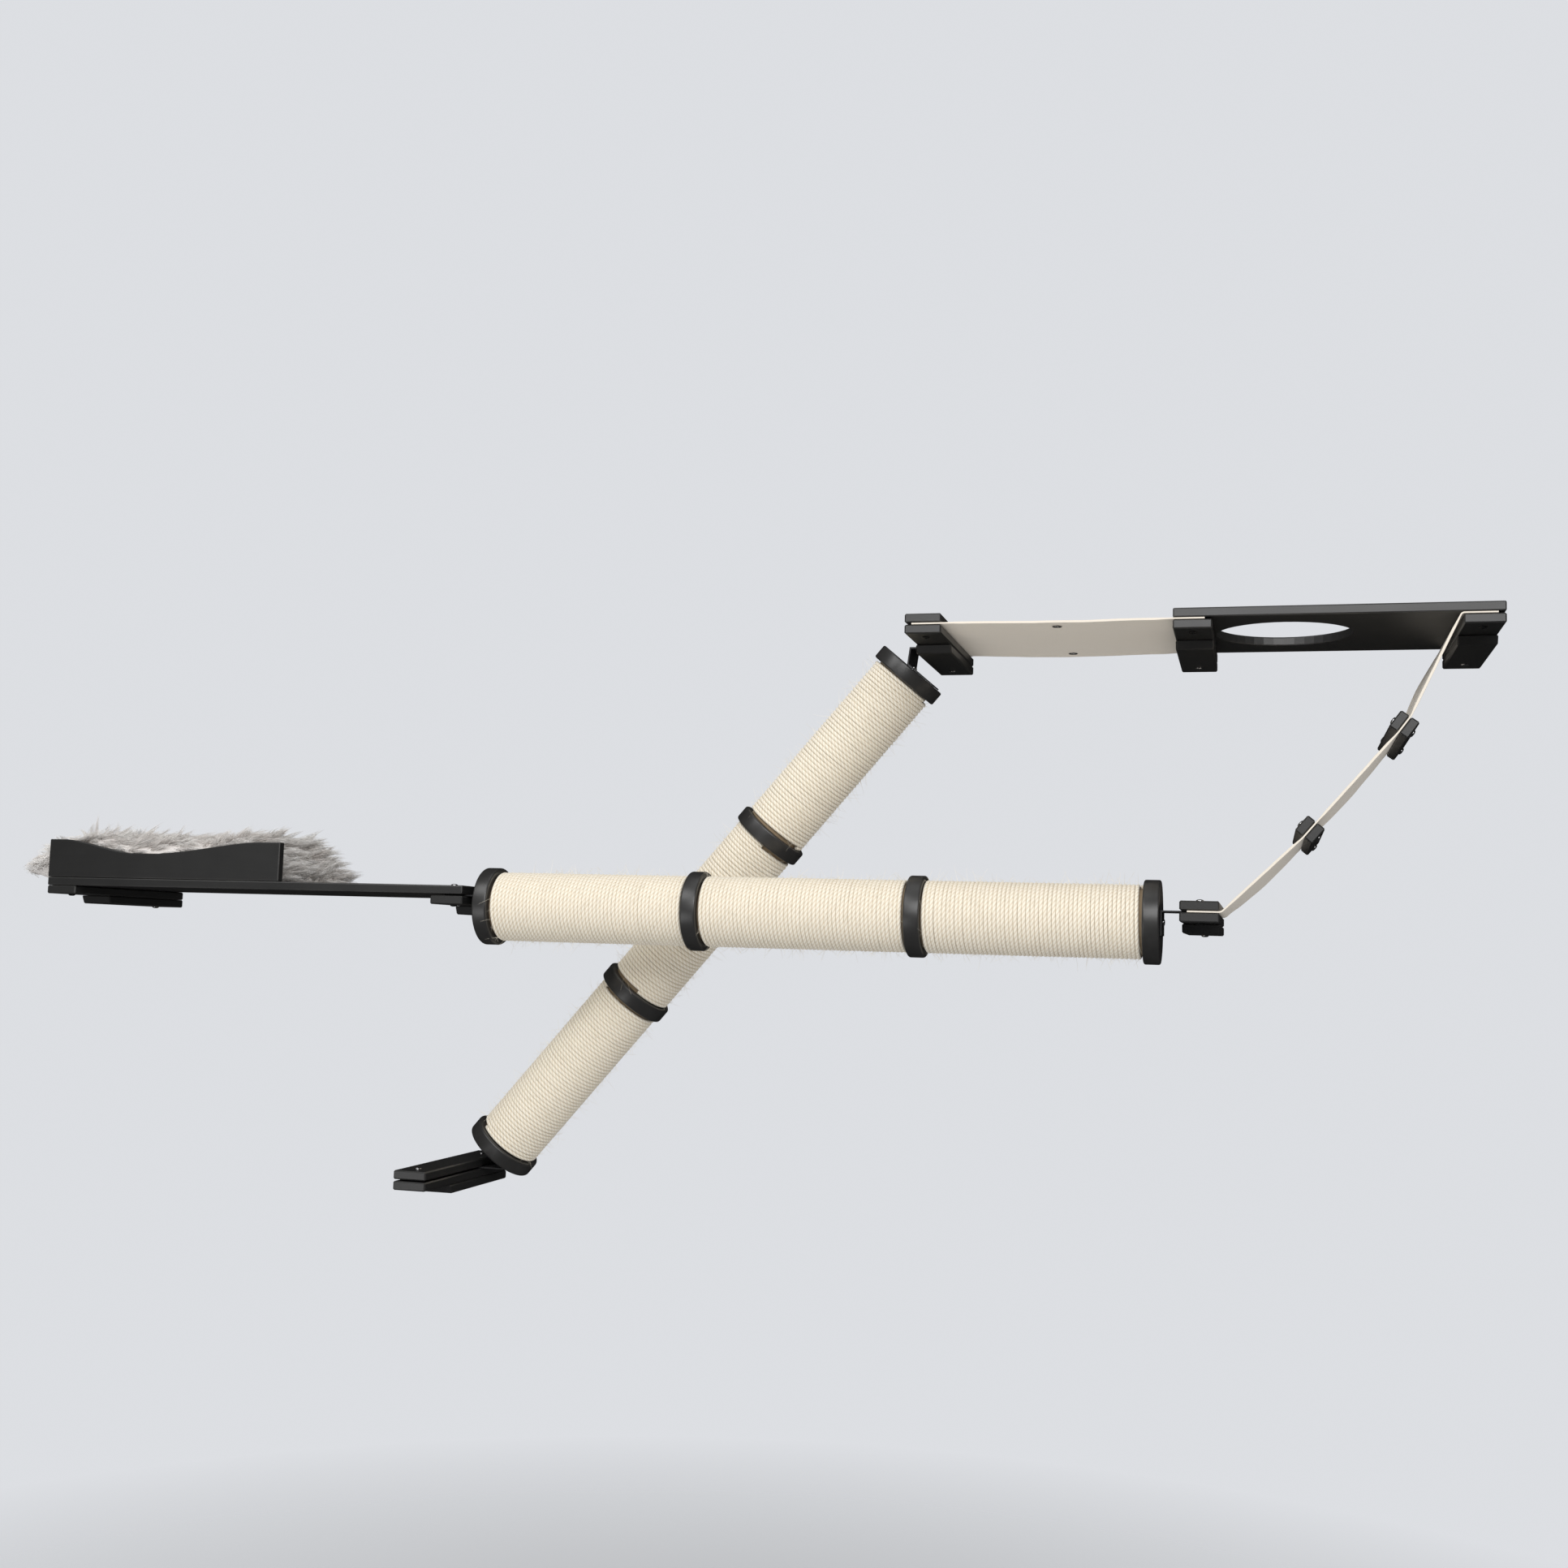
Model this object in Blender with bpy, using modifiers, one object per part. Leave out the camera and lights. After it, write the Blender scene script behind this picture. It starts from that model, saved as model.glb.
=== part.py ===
# Wall mounted cat tree: a bed shelf, a hammock, a hatch shelf, a cloth ladder and two
# rope wound posts, carried by seven wooden wall brackets.
# Metres, +Z up. The wall is the plane y = 0 and the tree stands out from it towards -Y.
# The origin is the middle of the rear face of the middle bracket's arm.

import math

import bmesh
import bpy
from mathutils import Matrix, Vector

# Boards and brackets
boardThickness = 0.0143
bracketWidth = 0.0572
bracketDepth = 0.320
edgeRadius = 0.002
edgeSegments = 2
bracketEdgeSegments = 1
blockSetback = 0.094
blockFrontSlant = 0.007

# Room between two clamped layers, and the running gap between touching pieces
layerGap = 0.0030
touchGap = 0.0003

# Places of the brackets along the wall, and their heights
studSpacing = 0.4064
bedInnerDistance = 1.190
postFootDistance = 1.2315
ladderFootShift = 0.013
ladderRise = 0.435
postDrop = 0.465

# Bed shelf and its front board
bedLength = 0.7950
frontBoardLength = 0.455
frontBoardHeight = 0.066
frontBoardDip = 0.0225
frontBoardLeftFlat = 0.034
frontBoardLeftRamp = 0.130
frontBoardRightRamp = 0.195
frontBoardRightFlat = 0.041
frontBoardEdge = 0.0015
rampSteps = 8

# Fur mat
matOverhang = 0.045
matShortOfBoard = 0.029
matCrown = 0.070
matEndHeight = 0.030
matHangDepth = 0.024
matWallGap = 0.015
matEndTaper = 0.110
matSidePoints = 12
matRoundness = 2.6

# Hatch shelf
hatchDiameter = 0.203
hatchInset = 0.0605
hatchSegments = 40

# Cloth
clothThickness = 0.0024
clothFrontInset = 0.002
clothWallGap = 0.020
clothEndInset = 0.011
hammockSag = 0.005
hammockSteps = 14

# Eyelets of the hammock
eyeletInset = 0.031
eyeletFlange = 0.015
eyeletBore = 0.007
eyeletWall = 0.0012
eyeletLip = 0.0012
eyeletSegments = 14

# Ladder: the cloth leaves each bracket a little outside its side, over a bend line
bendOutset = 0.0025
upperPanelLength = 0.164
upperPanelSlope = math.radians(65.0)
upperRungSlope = math.radians(54.0)
middlePanelLength = 0.1713
middlePanelSlope = math.radians(49.3)
lowerRungSlope = math.radians(50.0)
rungWidth = 0.0286
rungWallGap = 0.034
rungBoltInset = 0.034
hingeGap = 0.0004
bendGap = 0.0015
tabGap = 0.0005
openEndGap = 0.0014

# Through bolts: distance from the bracket's front
frontBoltInset = 0.030
shankDiameter = 0.006
boltHeadDiameter = 0.0116
boltHeadHeight = 0.0028
boltHeadCrownShare = 0.62
boltClearance = 0.0004
boltSegments = 10

# Wound posts: how far their axes stand from the wall, and where their ends lie from
# the sides and the gaps of the brackets that carry them
frontPostDepth = 0.265
frontPostDrop = 0.016
frontPostLeftGap = 0.021
frontPostRightGap = 0.0285
rearPostDepth = 0.072
rearPostHighGap = 0.0340
rearPostHighDrop = 0.0310
rearPostLowGap = 0.0178
rearPostLowRise = 0.0265
capDiameter = 0.127
capWidth = 0.025
ringWidth = 0.025
ringEdge = 0.003
coreDiameter = 0.0994
coreWall = 0.004
spigotLength = 0.030
spigotWall = 0.005
sectionCount = 3
roundSegments = 28

# Rope winding
ropeDiameter = 0.0060
ropeSeat = 0.0008
turnSpacing = 0.0008
turnCount = 4
pointsPerTurn = 24

# Angle plates between post ends and brackets
plateThickness = 0.0024
plateWidth = 0.070
plateReach = 0.012
plateTail = 0.020
foldedTail = 0.048
foldedRise = 0.004
foldedSideReach = 0.0325
plateNotchGap = 0.001

# One overrun serves all cuts, and one distance welds a tube's caps
cutOverrun = 0.010
weldDistance = 0.00001

# Worked out places
upperTop = boardThickness / 2
middleTop = upperTop - ladderRise
lowerTop = middleTop - postDrop
middleX = 0.0
hatchX = middleX + studSpacing
hammockX = middleX - studSpacing
bedInnerX = middleX - bedInnerDistance
ladderFootX = middleX + ladderFootShift
postFootX = middleX - postFootDistance
bedOuterX = bedInnerX - (bedLength - bracketWidth)
bedOuterTop = middleTop + layerGap - touchGap
frontY = -bracketDepth
frontBoltY = frontY + frontBoltInset
plankBottom = middleTop + layerGap
plankTop = plankBottom + boardThickness
bedLeft = bedOuterX - bracketWidth / 2
bedRight = bedInnerX + bracketWidth / 2
ropeRadius = ropeDiameter / 2
coreRadius = coreDiameter / 2
windingRadius = coreRadius + ropeSeat + ropeRadius
sleeveRadius = windingRadius + ropeRadius
turnPitch = ropeDiameter + turnSpacing
rungRearY = -rungWallGap
clothFrontY = frontY + clothFrontInset
clothRearY = -clothWallGap

# Bracket name: place along the wall, height of the arm's top, clamp strip or shelf on top
brackets = {
    "bed_outer": (bedOuterX, bedOuterTop, "plank"),
    "bed_inner": (bedInnerX, middleTop, "plank"),
    "hammock": (hammockX, upperTop, "strip"),
    "middle": (middleX, upperTop, "plank"),
    "hatch": (hatchX, upperTop, "plank"),
    "ladder_foot": (ladderFootX, middleTop, "strip"),
    "post_foot": (postFootX, lowerTop, "strip"),
}


def clearScene():
    for item in list(bpy.data.objects):
        bpy.data.objects.remove(item, do_unlink=True)


def makeCollection(name):
    group = bpy.data.collections.new(name)
    bpy.context.scene.collection.children.link(group)
    return group


clearScene()
parts = makeCollection("wall_cat_tree")
cutters = makeCollection("cutters")
guides = makeCollection("guides")


def makeMaterial(name, colour, roughness, metallic=0.0):
    material = bpy.data.materials.new(name)
    material.use_nodes = True
    shader = material.node_tree.nodes["Principled BSDF"]
    shader.inputs["Base Color"].default_value = (*colour, 1.0)
    shader.inputs["Roughness"].default_value = roughness
    shader.inputs["Metallic"].default_value = metallic
    material.diffuse_color = (*colour, 1.0)
    return material


blackWood = makeMaterial("black_wood", (0.022, 0.021, 0.021), 0.45)
blackCap = makeMaterial("black_cap", (0.018, 0.018, 0.019), 0.38)
blackSteel = makeMaterial("black_steel", (0.015, 0.015, 0.016), 0.35, 1.0)
chrome = makeMaterial("chrome", (0.75, 0.75, 0.76), 0.12, 1.0)
creamCloth = makeMaterial("cream_cloth", (0.80, 0.74, 0.63), 0.85)
sisal = makeMaterial("sisal", (0.82, 0.75, 0.62), 0.90)
cardboard = makeMaterial("core_board", (0.36, 0.27, 0.18), 0.90)
longFur = makeMaterial("long_fur", (0.80, 0.74, 0.70), 0.95)


def addObject(name, data, material=None, group=parts):
    item = bpy.data.objects.new(name, data)
    group.objects.link(item)
    if material is not None:
        data.materials.append(material)
    if group is cutters:
        item.hide_render = True
        item.display_type = "WIRE"
    return item


def meshFromBmesh(name, shape):
    mesh = bpy.data.meshes.new(name)
    shape.to_mesh(mesh)
    shape.free()
    return mesh


def bevelEdges(item, width, segments=edgeSegments):
    bevel = item.modifiers.new("rounded_edges", "BEVEL")
    bevel.width = width
    bevel.segments = segments
    bevel.limit_method = "ANGLE"
    return bevel


def makeBox(name, low, high, material, edge=edgeRadius, segments=edgeSegments, group=parts):
    low, high = Vector(low), Vector(high)
    shape = bmesh.new()
    bmesh.ops.create_cube(shape, size=1.0)
    size = Matrix.Diagonal((*(high - low), 1.0))
    bmesh.ops.transform(shape, matrix=Matrix.Translation((low + high) / 2) @ size, verts=shape.verts)
    item = addObject(name, meshFromBmesh(name, shape), material, group)
    if edge > 0:
        bevelEdges(item, edge, segments)
    return item


def makeCutCylinder(name, start, end, diameter, segments):
    # A cylinder from start to end, longer by the overrun at both ends
    start, end = Vector(start), Vector(end)
    along = end - start
    shape = bmesh.new()
    length = along.length + 2 * cutOverrun
    bmesh.ops.create_cone(shape, cap_ends=True, segments=segments, radius1=diameter / 2,
                          radius2=diameter / 2, depth=length)
    turn = along.to_track_quat("Z", "Y").to_matrix().to_4x4()
    bmesh.ops.transform(shape, matrix=Matrix.Translation((start + end) / 2) @ turn, verts=shape.verts)
    return addObject(name, meshFromBmesh(name, shape), None, cutters)


def cut(item, cutter):
    boolean = item.modifiers.new(cutter.name, "BOOLEAN")
    boolean.operation = "DIFFERENCE"
    boolean.solver = "EXACT"
    boolean.object = cutter


def smoothRound(mesh):
    mesh.shade_smooth()
    mesh.set_sharp_from_angle(angle=math.radians(32))


def makeTurned(name, profile, material, segments, closed):
    # The profile is (radius, height) pairs that run down the outer side
    shape = bmesh.new()
    points = [shape.verts.new((radius, 0, height)) for radius, height in profile]
    for first, second in zip(points, points[1:]):
        shape.edges.new((first, second))
    if closed:
        shape.edges.new((points[-1], points[0]))
    item = addObject(name, meshFromBmesh(name, shape), material)
    screw = item.modifiers.new("turned", "SCREW")
    screw.steps = segments
    screw.render_steps = segments
    screw.use_merge_vertices = True
    screw.merge_threshold = 0.00001
    return item


def makeSheet(name, path, frontEdge, rearEdge, thickness, material):
    # A bent sheet: an open strip along path, which is (x, z) pairs, made solid
    shape = bmesh.new()
    rows = []
    for x, z in path:
        rows.append((shape.verts.new((x, frontEdge, z)), shape.verts.new((x, rearEdge, z))))
    for near, far in zip(rows, rows[1:]):
        shape.faces.new((near[0], far[0], far[1], near[1]))
    item = addObject(name, meshFromBmesh(name, shape), material)
    solid = item.modifiers.new("thickness", "SOLIDIFY")
    solid.thickness = thickness
    solid.offset = 0.0
    solid.use_even_offset = True
    return item


def boltProfile(top, bottom):
    headRadius = boltHeadDiameter / 2
    crownRadius = headRadius * boltHeadCrownShare
    shankRadius = shankDiameter / 2
    return [
        (0, top + touchGap + boltHeadHeight),
        (crownRadius, top + touchGap + boltHeadHeight),
        (headRadius, top + touchGap),
        (shankRadius, top + touchGap),
        (shankRadius, bottom - touchGap),
        (headRadius, bottom - touchGap),
        (crownRadius, bottom - touchGap - boltHeadHeight),
        (0, bottom - touchGap - boltHeadHeight),
    ]


def slope(angle):
    # Unit vector in the X-Z plane, up and to the right
    return Vector((math.cos(angle), math.sin(angle)))


# Brackets: arm, under block and clamp strip
def makeLayer(name, low, high):
    return makeBox(name, low, high, blackWood, edgeRadius, bracketEdgeSegments)


def makeBracket(name, x, armTop, carries):
    left, right = x - bracketWidth / 2, x + bracketWidth / 2
    armBottom = armTop - boardThickness
    blockTop = armBottom - touchGap
    blockBottom = blockTop - boardThickness
    blockFront = frontY + blockSetback
    layers = {}
    layers["arm"] = makeLayer("arm_" + name, (left, frontY, armBottom), (right, 0, armTop))
    block = makeLayer("block_" + name, (left, blockFront, blockBottom), (right, 0, blockTop))
    for vertex in block.data.vertices:
        if vertex.co.y < blockFront / 2 and vertex.co.z < (blockTop + blockBottom) / 2:
            vertex.co.y += blockFrontSlant
    layers["block"] = block
    if carries == "strip":
        stripBottom = armTop + layerGap
        stripTop = stripBottom + boardThickness
        layers["strip"] = makeLayer("strip_" + name, (left, frontY, stripBottom), (right, 0, stripTop))
    return layers


def makeBrackets():
    return {name: makeBracket(name, *place) for name, place in brackets.items()}


def makeBolt(name, place, top, bottom, frame=None):
    # A through bolt, its head above and its nut below, at place in the frame
    bolt = makeTurned(name, boltProfile(top, bottom), chrome, boltSegments, False)
    bolt.parent = frame
    bolt.location = place
    return bolt


# The front bolt that holds a clamp strip down on what lies in the bracket's gap
def clampStrip(name, layers, between):
    x, armTop, carries = brackets[name]
    top = armTop + layerGap + boardThickness
    bottom = armTop - boardThickness
    hole = makeCutCylinder("strip_bolt_hole_" + name, (x, frontBoltY, bottom), (x, frontBoltY, top),
                           shankDiameter + 2 * boltClearance, boltSegments)
    for piece in (layers["strip"], layers["arm"], *between):
        cut(piece, hole)
    makeBolt("strip_bolt_" + name, (x, frontBoltY, 0), top, bottom)


# Bed: plank, front board with a dipped top edge, and mat
def makeBedPlank():
    return makeBox("bed_plank", (bedLeft, frontY, plankBottom), (bedRight, 0, plankTop), blackWood)


def easedRamp(start, length, falling):
    # A ramp between two heights, half straight and half eased at its ends
    points = []
    for step in range(rampSteps + 1):
        share = step / rampSteps
        gone = (share + (1 - math.cos(math.pi * share)) / 2) / 2
        drop = frontBoardDip * (gone if falling else 1 - gone)
        points.append((start + length * share, frontBoardHeight - drop))
    return points


def frontBoardOutline():
    # Heights along the board: a flat end, a ramp down, a low middle, a longer ramp up and a flat end
    lowEnd = frontBoardLength - frontBoardRightFlat - frontBoardRightRamp
    points = [(0, 0), (0, frontBoardHeight)]
    points += easedRamp(frontBoardLeftFlat, frontBoardLeftRamp, True)
    points += easedRamp(lowEnd, frontBoardRightRamp, False)
    return points + [(frontBoardLength, frontBoardHeight), (frontBoardLength, 0)]


def makeFrontBoard():
    shape = bmesh.new()
    base = plankTop + touchGap
    points = [shape.verts.new((bedLeft + x, frontY, base + z)) for x, z in frontBoardOutline()]
    shape.faces.new(points)
    item = addObject("bed_front_board", meshFromBmesh("bed_front_board", shape), blackWood)
    solid = item.modifiers.new("thickness", "SOLIDIFY")
    solid.thickness = boardThickness
    solid.offset = 1.0
    bevelEdges(item, frontBoardEdge)
    return item


def matSection(x, bottom, top, front, rear):
    # A rounded cross section of the mat, wider than high
    middleY, middleZ = (front + rear) / 2, (bottom + top) / 2
    halfY, halfZ = (rear - front) / 2, (top - bottom) / 2
    ring = []
    for index in range(matSidePoints):
        angle = 2 * math.pi * (index + 0.5) / matSidePoints
        across, up = math.cos(angle), math.sin(angle)
        y = middleY + halfY * math.copysign(abs(across) ** (2 / matRoundness), across)
        z = middleZ + halfZ * math.copysign(abs(up) ** (2 / matRoundness), up)
        ring.append((x, y, z))
    return ring


def makeMat():
    # The mat lies on the plank behind the front board, hangs a little over the shelf's
    # left end and runs out a little before the board's right end
    base = plankTop + touchGap
    front = frontY + boardThickness + 2 * touchGap
    rear = -matWallGap
    hangX = bedLeft - touchGap
    rightEnd = bedLeft + frontBoardLength - matShortOfBoard
    hangBottom = plankTop - matHangDepth
    sections = [
        (hangX - matOverhang, hangBottom + matHangDepth / 2, base + matEndHeight),
        (hangX - matOverhang * hangShares[0], hangBottom, base + matEndHeight * hangShares[1]),
        (hangX - matOverhang * hangShares[2], hangBottom, base + matCrown * hangShares[3]),
        (hangX, hangBottom, base + matCrown * hangShares[4]),
        (hangX, base, base + matCrown * hangShares[4]),
    ]
    for alongShare, crownShare in crownShares:
        x = hangX + (rightEnd - matEndTaper - hangX) * alongShare
        sections.append((x, base, base + matCrown * crownShare))
    for alongShare, heightShare in taperShares:
        x = rightEnd - matEndTaper * (1 - alongShare)
        sections.append((x, base, base + matEndHeight + (matCrown - matEndHeight) * heightShare))
    shape = bmesh.new()
    rings = []
    for x, bottom, top in sections:
        rings.append([shape.verts.new(point) for point in matSection(x, bottom, top, front, rear)])
    for near, far in zip(rings, rings[1:]):
        for index in range(matSidePoints):
            after = (index + 1) % matSidePoints
            shape.faces.new((near[index], near[after], far[after], far[index]))
    shape.faces.new(rings[0])
    shape.faces.new(rings[-1])
    bmesh.ops.recalc_face_normals(shape, faces=shape.faces)
    item = addObject("fur_mat", meshFromBmesh("fur_mat", shape), longFur)
    smoothRound(item.data)
    return item


# Shares of the mat's overhang, crown and taper that give its soft outline
hangShares = (0.90, 1.25, 0.45, 0.78, 0.90)
crownShares = ((0.14, 0.97), (0.32, 0.92), (0.50, 0.90), (0.68, 0.92), (0.86, 0.98), (1.0, 1.0))
taperShares = ((0.35, 0.86), (0.65, 0.50), (0.88, 0.12), (1.0, -0.35))


# Hatch shelf with the round hole that the animal climbs through
def makeHatchShelf():
    left, right = middleX - bracketWidth / 2, hatchX + bracketWidth / 2
    bottom = upperTop + layerGap
    top = bottom + boardThickness
    item = makeBox("hatch_shelf", (left, frontY, bottom), (right, 0, top), blackWood, 0)
    centreX = left + hatchInset + hatchDiameter / 2
    hole = makeCutCylinder("hatch_hole", (centreX, frontY / 2, bottom), (centreX, frontY / 2, top),
                           hatchDiameter, hatchSegments)
    cut(item, hole)
    bevelEdges(item, edgeRadius)
    return item


# Hammock cloth, clamped at both ends and sagging a little between
def makeHammock():
    middle = upperTop + layerGap / 2
    start = hammockX - bracketWidth / 2 + clothEndInset
    leave = hammockX + bracketWidth / 2
    arrive = middleX - bracketWidth / 2
    end = middleX + bracketWidth / 2 - clothEndInset
    path = [(start, middle)]
    for step in range(hammockSteps + 1):
        share = step / hammockSteps
        sag = hammockSag * math.sin(math.pi * share) ** 2
        path.append((leave + (arrive - leave) * share, middle - sag))
    path.append((end, middle))
    cloth = makeSheet("hammock_cloth", path, clothFrontY, clothRearY, clothThickness, creamCloth)
    smoothRound(cloth.data)
    return cloth


def makeEyelets(cloth):
    # A spool through the cloth: a lip above, a barrel, and a lip below
    x = (hammockX + middleX) / 2
    z = upperTop + layerGap / 2 - hammockSag
    half = clothThickness / 2 + touchGap
    bore, flange = eyeletBore / 2, eyeletFlange / 2
    barrel = bore + eyeletWall
    profile = [
        (bore, half + eyeletLip), (flange, half + eyeletLip), (flange, half), (barrel, half),
        (barrel, -half), (flange, -half), (flange, -half - eyeletLip), (bore, -half - eyeletLip),
    ]
    for name, y in (("front", clothFrontY + eyeletInset), ("rear", clothRearY - eyeletInset)):
        hole = makeCutCylinder("eyelet_hole_" + name, (x, y, z - half), (x, y, z + half),
                               2 * barrel + 2 * boltClearance, eyeletSegments)
        cut(cloth, hole)
        spool = makeTurned("hammock_eyelet_" + name, profile, chrome, eyeletSegments, True)
        spool.location = (x, y, z)


# Ladder: where the cloth bends, from the hatch bracket down to its foot
def ladderLine():
    line = {}
    line["head"] = Vector((hatchX - bracketWidth / 2 - bendOutset, upperTop + layerGap / 2))
    line["upperHinge"] = line["head"] - upperPanelLength * slope(upperPanelSlope)
    edge = line["upperHinge"] - 2 * hingeGap * slope(upperRungSlope)
    line["upperRung"] = edge - rungWidth / 2 * slope(upperRungSlope)
    line["upperRungFoot"] = edge - rungWidth * slope(upperRungSlope)
    line["lowerRungHead"] = line["upperRungFoot"] - middlePanelLength * slope(middlePanelSlope)
    line["lowerRung"] = line["lowerRungHead"] - rungWidth / 2 * slope(lowerRungSlope)
    line["lowerRungFoot"] = line["lowerRungHead"] - rungWidth * slope(lowerRungSlope)
    line["lowerHinge"] = line["lowerRungFoot"] - 2 * hingeGap * slope(lowerRungSlope)
    line["foot"] = Vector((ladderFootX + bracketWidth / 2 + bendOutset, middleTop + layerGap / 2))
    return line


def makeLadderCloth(line):
    cloth = {}
    headZ, footZ = upperTop + layerGap / 2, middleTop + layerGap / 2
    headEnd = hatchX + bracketWidth / 2 - clothEndInset
    footEnd = ladderFootX - bracketWidth / 2 + clothEndInset
    lowerRun = (line["lowerHinge"] - line["foot"]).normalized()
    paths = {
        "head": [(line["head"].x + tabGap, headZ), (headEnd, headZ)],
        "upper": [line["upperHinge"] + hingeGap * slope(upperPanelSlope),
                  line["head"] - bendGap * slope(upperPanelSlope)],
        "middle": [line["lowerHinge"] + hingeGap * slope(lowerRungSlope), line["lowerRungHead"],
                   line["upperRungFoot"], line["upperHinge"] - hingeGap * slope(upperRungSlope)],
        "lower": [line["foot"] + openEndGap * lowerRun,
                  line["lowerHinge"] - hingeGap * lowerRun],
        "foot": [(footEnd, footZ), (line["foot"].x - tabGap, footZ)],
    }
    for name, path in paths.items():
        cloth[name] = makeSheet("ladder_cloth_" + name, path, clothFrontY, clothRearY,
                                clothThickness, creamCloth)
    return cloth


def makeRung(name, centre, angle, cloth):
    # Two slats that clamp the cloth between them, with a bolt near each end
    frame = bpy.data.objects.new("rung_frame_" + name, None)
    guides.objects.link(frame)
    frame.location = (centre.x, 0, centre.y)
    frame.rotation_euler = (0, -angle, 0)
    lift = clothThickness / 2 + touchGap
    half = rungWidth / 2
    spans = {"top": (lift, lift + boardThickness), "bottom": (-lift - boardThickness, -lift)}
    slats = {}
    for side, (low, high) in spans.items():
        slats[side] = makeLayer("rung_%s_%s" % (name, side), (-half, frontY, low),
                                (half, rungRearY, high))
        slats[side].parent = frame
    for end, y in (("front", frontY + rungBoltInset), ("rear", rungRearY - rungBoltInset)):
        low, high = spans["bottom"][0], spans["top"][1]
        hole = makeCutCylinder("rung_hole_%s_%s" % (name, end), (0, y, low), (0, y, high),
                               shankDiameter + 2 * boltClearance, boltSegments)
        hole.parent = frame
        for piece in (slats["top"], slats["bottom"], cloth):
            cut(piece, hole)
        makeBolt("rung_%s_bolt_%s" % (name, end), (0, y, 0), high, low, frame)


# Posts: each one stands in a frame whose Z axis is the post's axis
def makePostFrame(name, start, end, depth):
    # The frame's Z axis runs from the post's start to its end, both (x, z) places
    along = (end - start).normalized()
    frame = bpy.data.objects.new("post_frame_" + name, None)
    guides.objects.link(frame)
    frame.location = (start.x, -depth, start.y)
    frame.rotation_euler = (0, math.atan2(along.x, along.y), 0)
    return frame, along


def roundedRim(outer, low, high, rimEdge):
    # The outer side of a rim, from its top to its foot
    return [(outer - rimEdge, high), (outer, high - rimEdge), (outer, low + rimEdge), (outer - rimEdge, low)]


def makeCap(name, frame, base, facing):
    # A thick disc whose spigot plugs into the core; facing is 1 at the low end and -1 at the high
    outer = capDiameter / 2
    spigotOuter = coreRadius - coreWall - touchGap
    spigotInner = spigotOuter - spigotWall
    spigotEnd = capWidth + spigotLength
    points = [(0, capWidth), (spigotInner, capWidth), (spigotInner, spigotEnd),
              (spigotOuter, spigotEnd), (spigotOuter, capWidth)]
    points += roundedRim(outer, 0, capWidth, ringEdge) + [(0, 0)]
    if facing < 0:
        points = [(radius, -height) for radius, height in reversed(points)]
    item = makeTurned(name, points, blackCap, roundSegments, False)
    item.parent = frame
    item.location = (0, 0, base)
    return item


def makeRing(name, frame, low):
    inner = coreRadius + touchGap
    profile = [(inner, ringWidth)] + roundedRim(capDiameter / 2, 0, ringWidth, ringEdge) + [(inner, 0)]
    ring = makeTurned(name, profile, blackCap, roundSegments, True)
    ring.parent = frame
    ring.location = (0, 0, low)


def makeTube(name, frame, inner, outer, low, high, material, segments):
    profile = [(inner, high), (outer, high), (outer, low), (inner, low)]
    item = makeTurned(name, profile, material, segments, True)
    item.parent = frame
    return item


def turnPoints(start):
    # The centre line of a section's turns, climbing one pitch a turn
    points = []
    for index in range(turnCount * pointsPerTurn + 1):
        turns = index / pointsPerTurn
        angle = 2 * math.pi * turns
        x, y = windingRadius * math.cos(angle), windingRadius * math.sin(angle)
        points.append(Vector((x, y, start + ropeRadius + turnPitch * turns)))
    return points


def leastSelfGap(points):
    # Between turns: points half a turn or more apart along the rope
    least = math.inf
    for first in range(len(points)):
        for second in range(first + pointsPerTurn // 2, len(points)):
            least = min(least, (points[second] - points[first]).length - ropeDiameter)
    return least


def makeTurns(name, frame, start):
    # The rope's own turns as one tube, made a mesh so that the winding can take it
    points = turnPoints(start)
    curve = bpy.data.curves.new(name, "CURVE")
    curve.dimensions = "3D"
    curve.bevel_depth = ropeRadius
    curve.bevel_resolution = 1
    curve.use_fill_caps = True
    spline = curve.splines.new("POLY")
    spline.points.add(len(points) - 1)
    for target, point in zip(spline.points, points):
        target.co = (*point, 1)
    rope = addObject(name, curve, None, guides)
    bpy.context.view_layer.update()
    ready = rope.evaluated_get(bpy.context.evaluated_depsgraph_get())
    mesh = bpy.data.meshes.new_from_object(ready)
    bpy.data.objects.remove(rope, do_unlink=True)
    shape = bmesh.new()
    shape.from_mesh(mesh)
    bmesh.ops.remove_doubles(shape, verts=shape.verts, dist=weldDistance)
    bmesh.ops.recalc_face_normals(shape, faces=shape.faces)
    shape.to_mesh(mesh)
    shape.free()
    turns = addObject(name, mesh, None, cutters)
    turns.parent = frame
    print("%s: %d turns, least gap to itself %.2f mm" % (name, turnCount, leastSelfGap(points) * 1000))
    return turns


def makeWinding(name, frame, low, high):
    # The rope of one section: its first turns are modelled one by one, the last of them
    # runs into the plain sleeve that stands for the rest
    turns = makeTurns(name + "_turns", frame, low + touchGap)
    sleeveLow = low + touchGap + (turnCount - 1) * turnPitch + ropeDiameter + touchGap
    winding = makeTube(name, frame, coreRadius + ropeSeat, sleeveRadius, sleeveLow, high - touchGap,
                       sisal, pointsPerTurn)
    union = winding.modifiers.new("turns", "BOOLEAN")
    union.operation = "UNION"
    union.solver = "EXACT"
    union.object = turns


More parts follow.
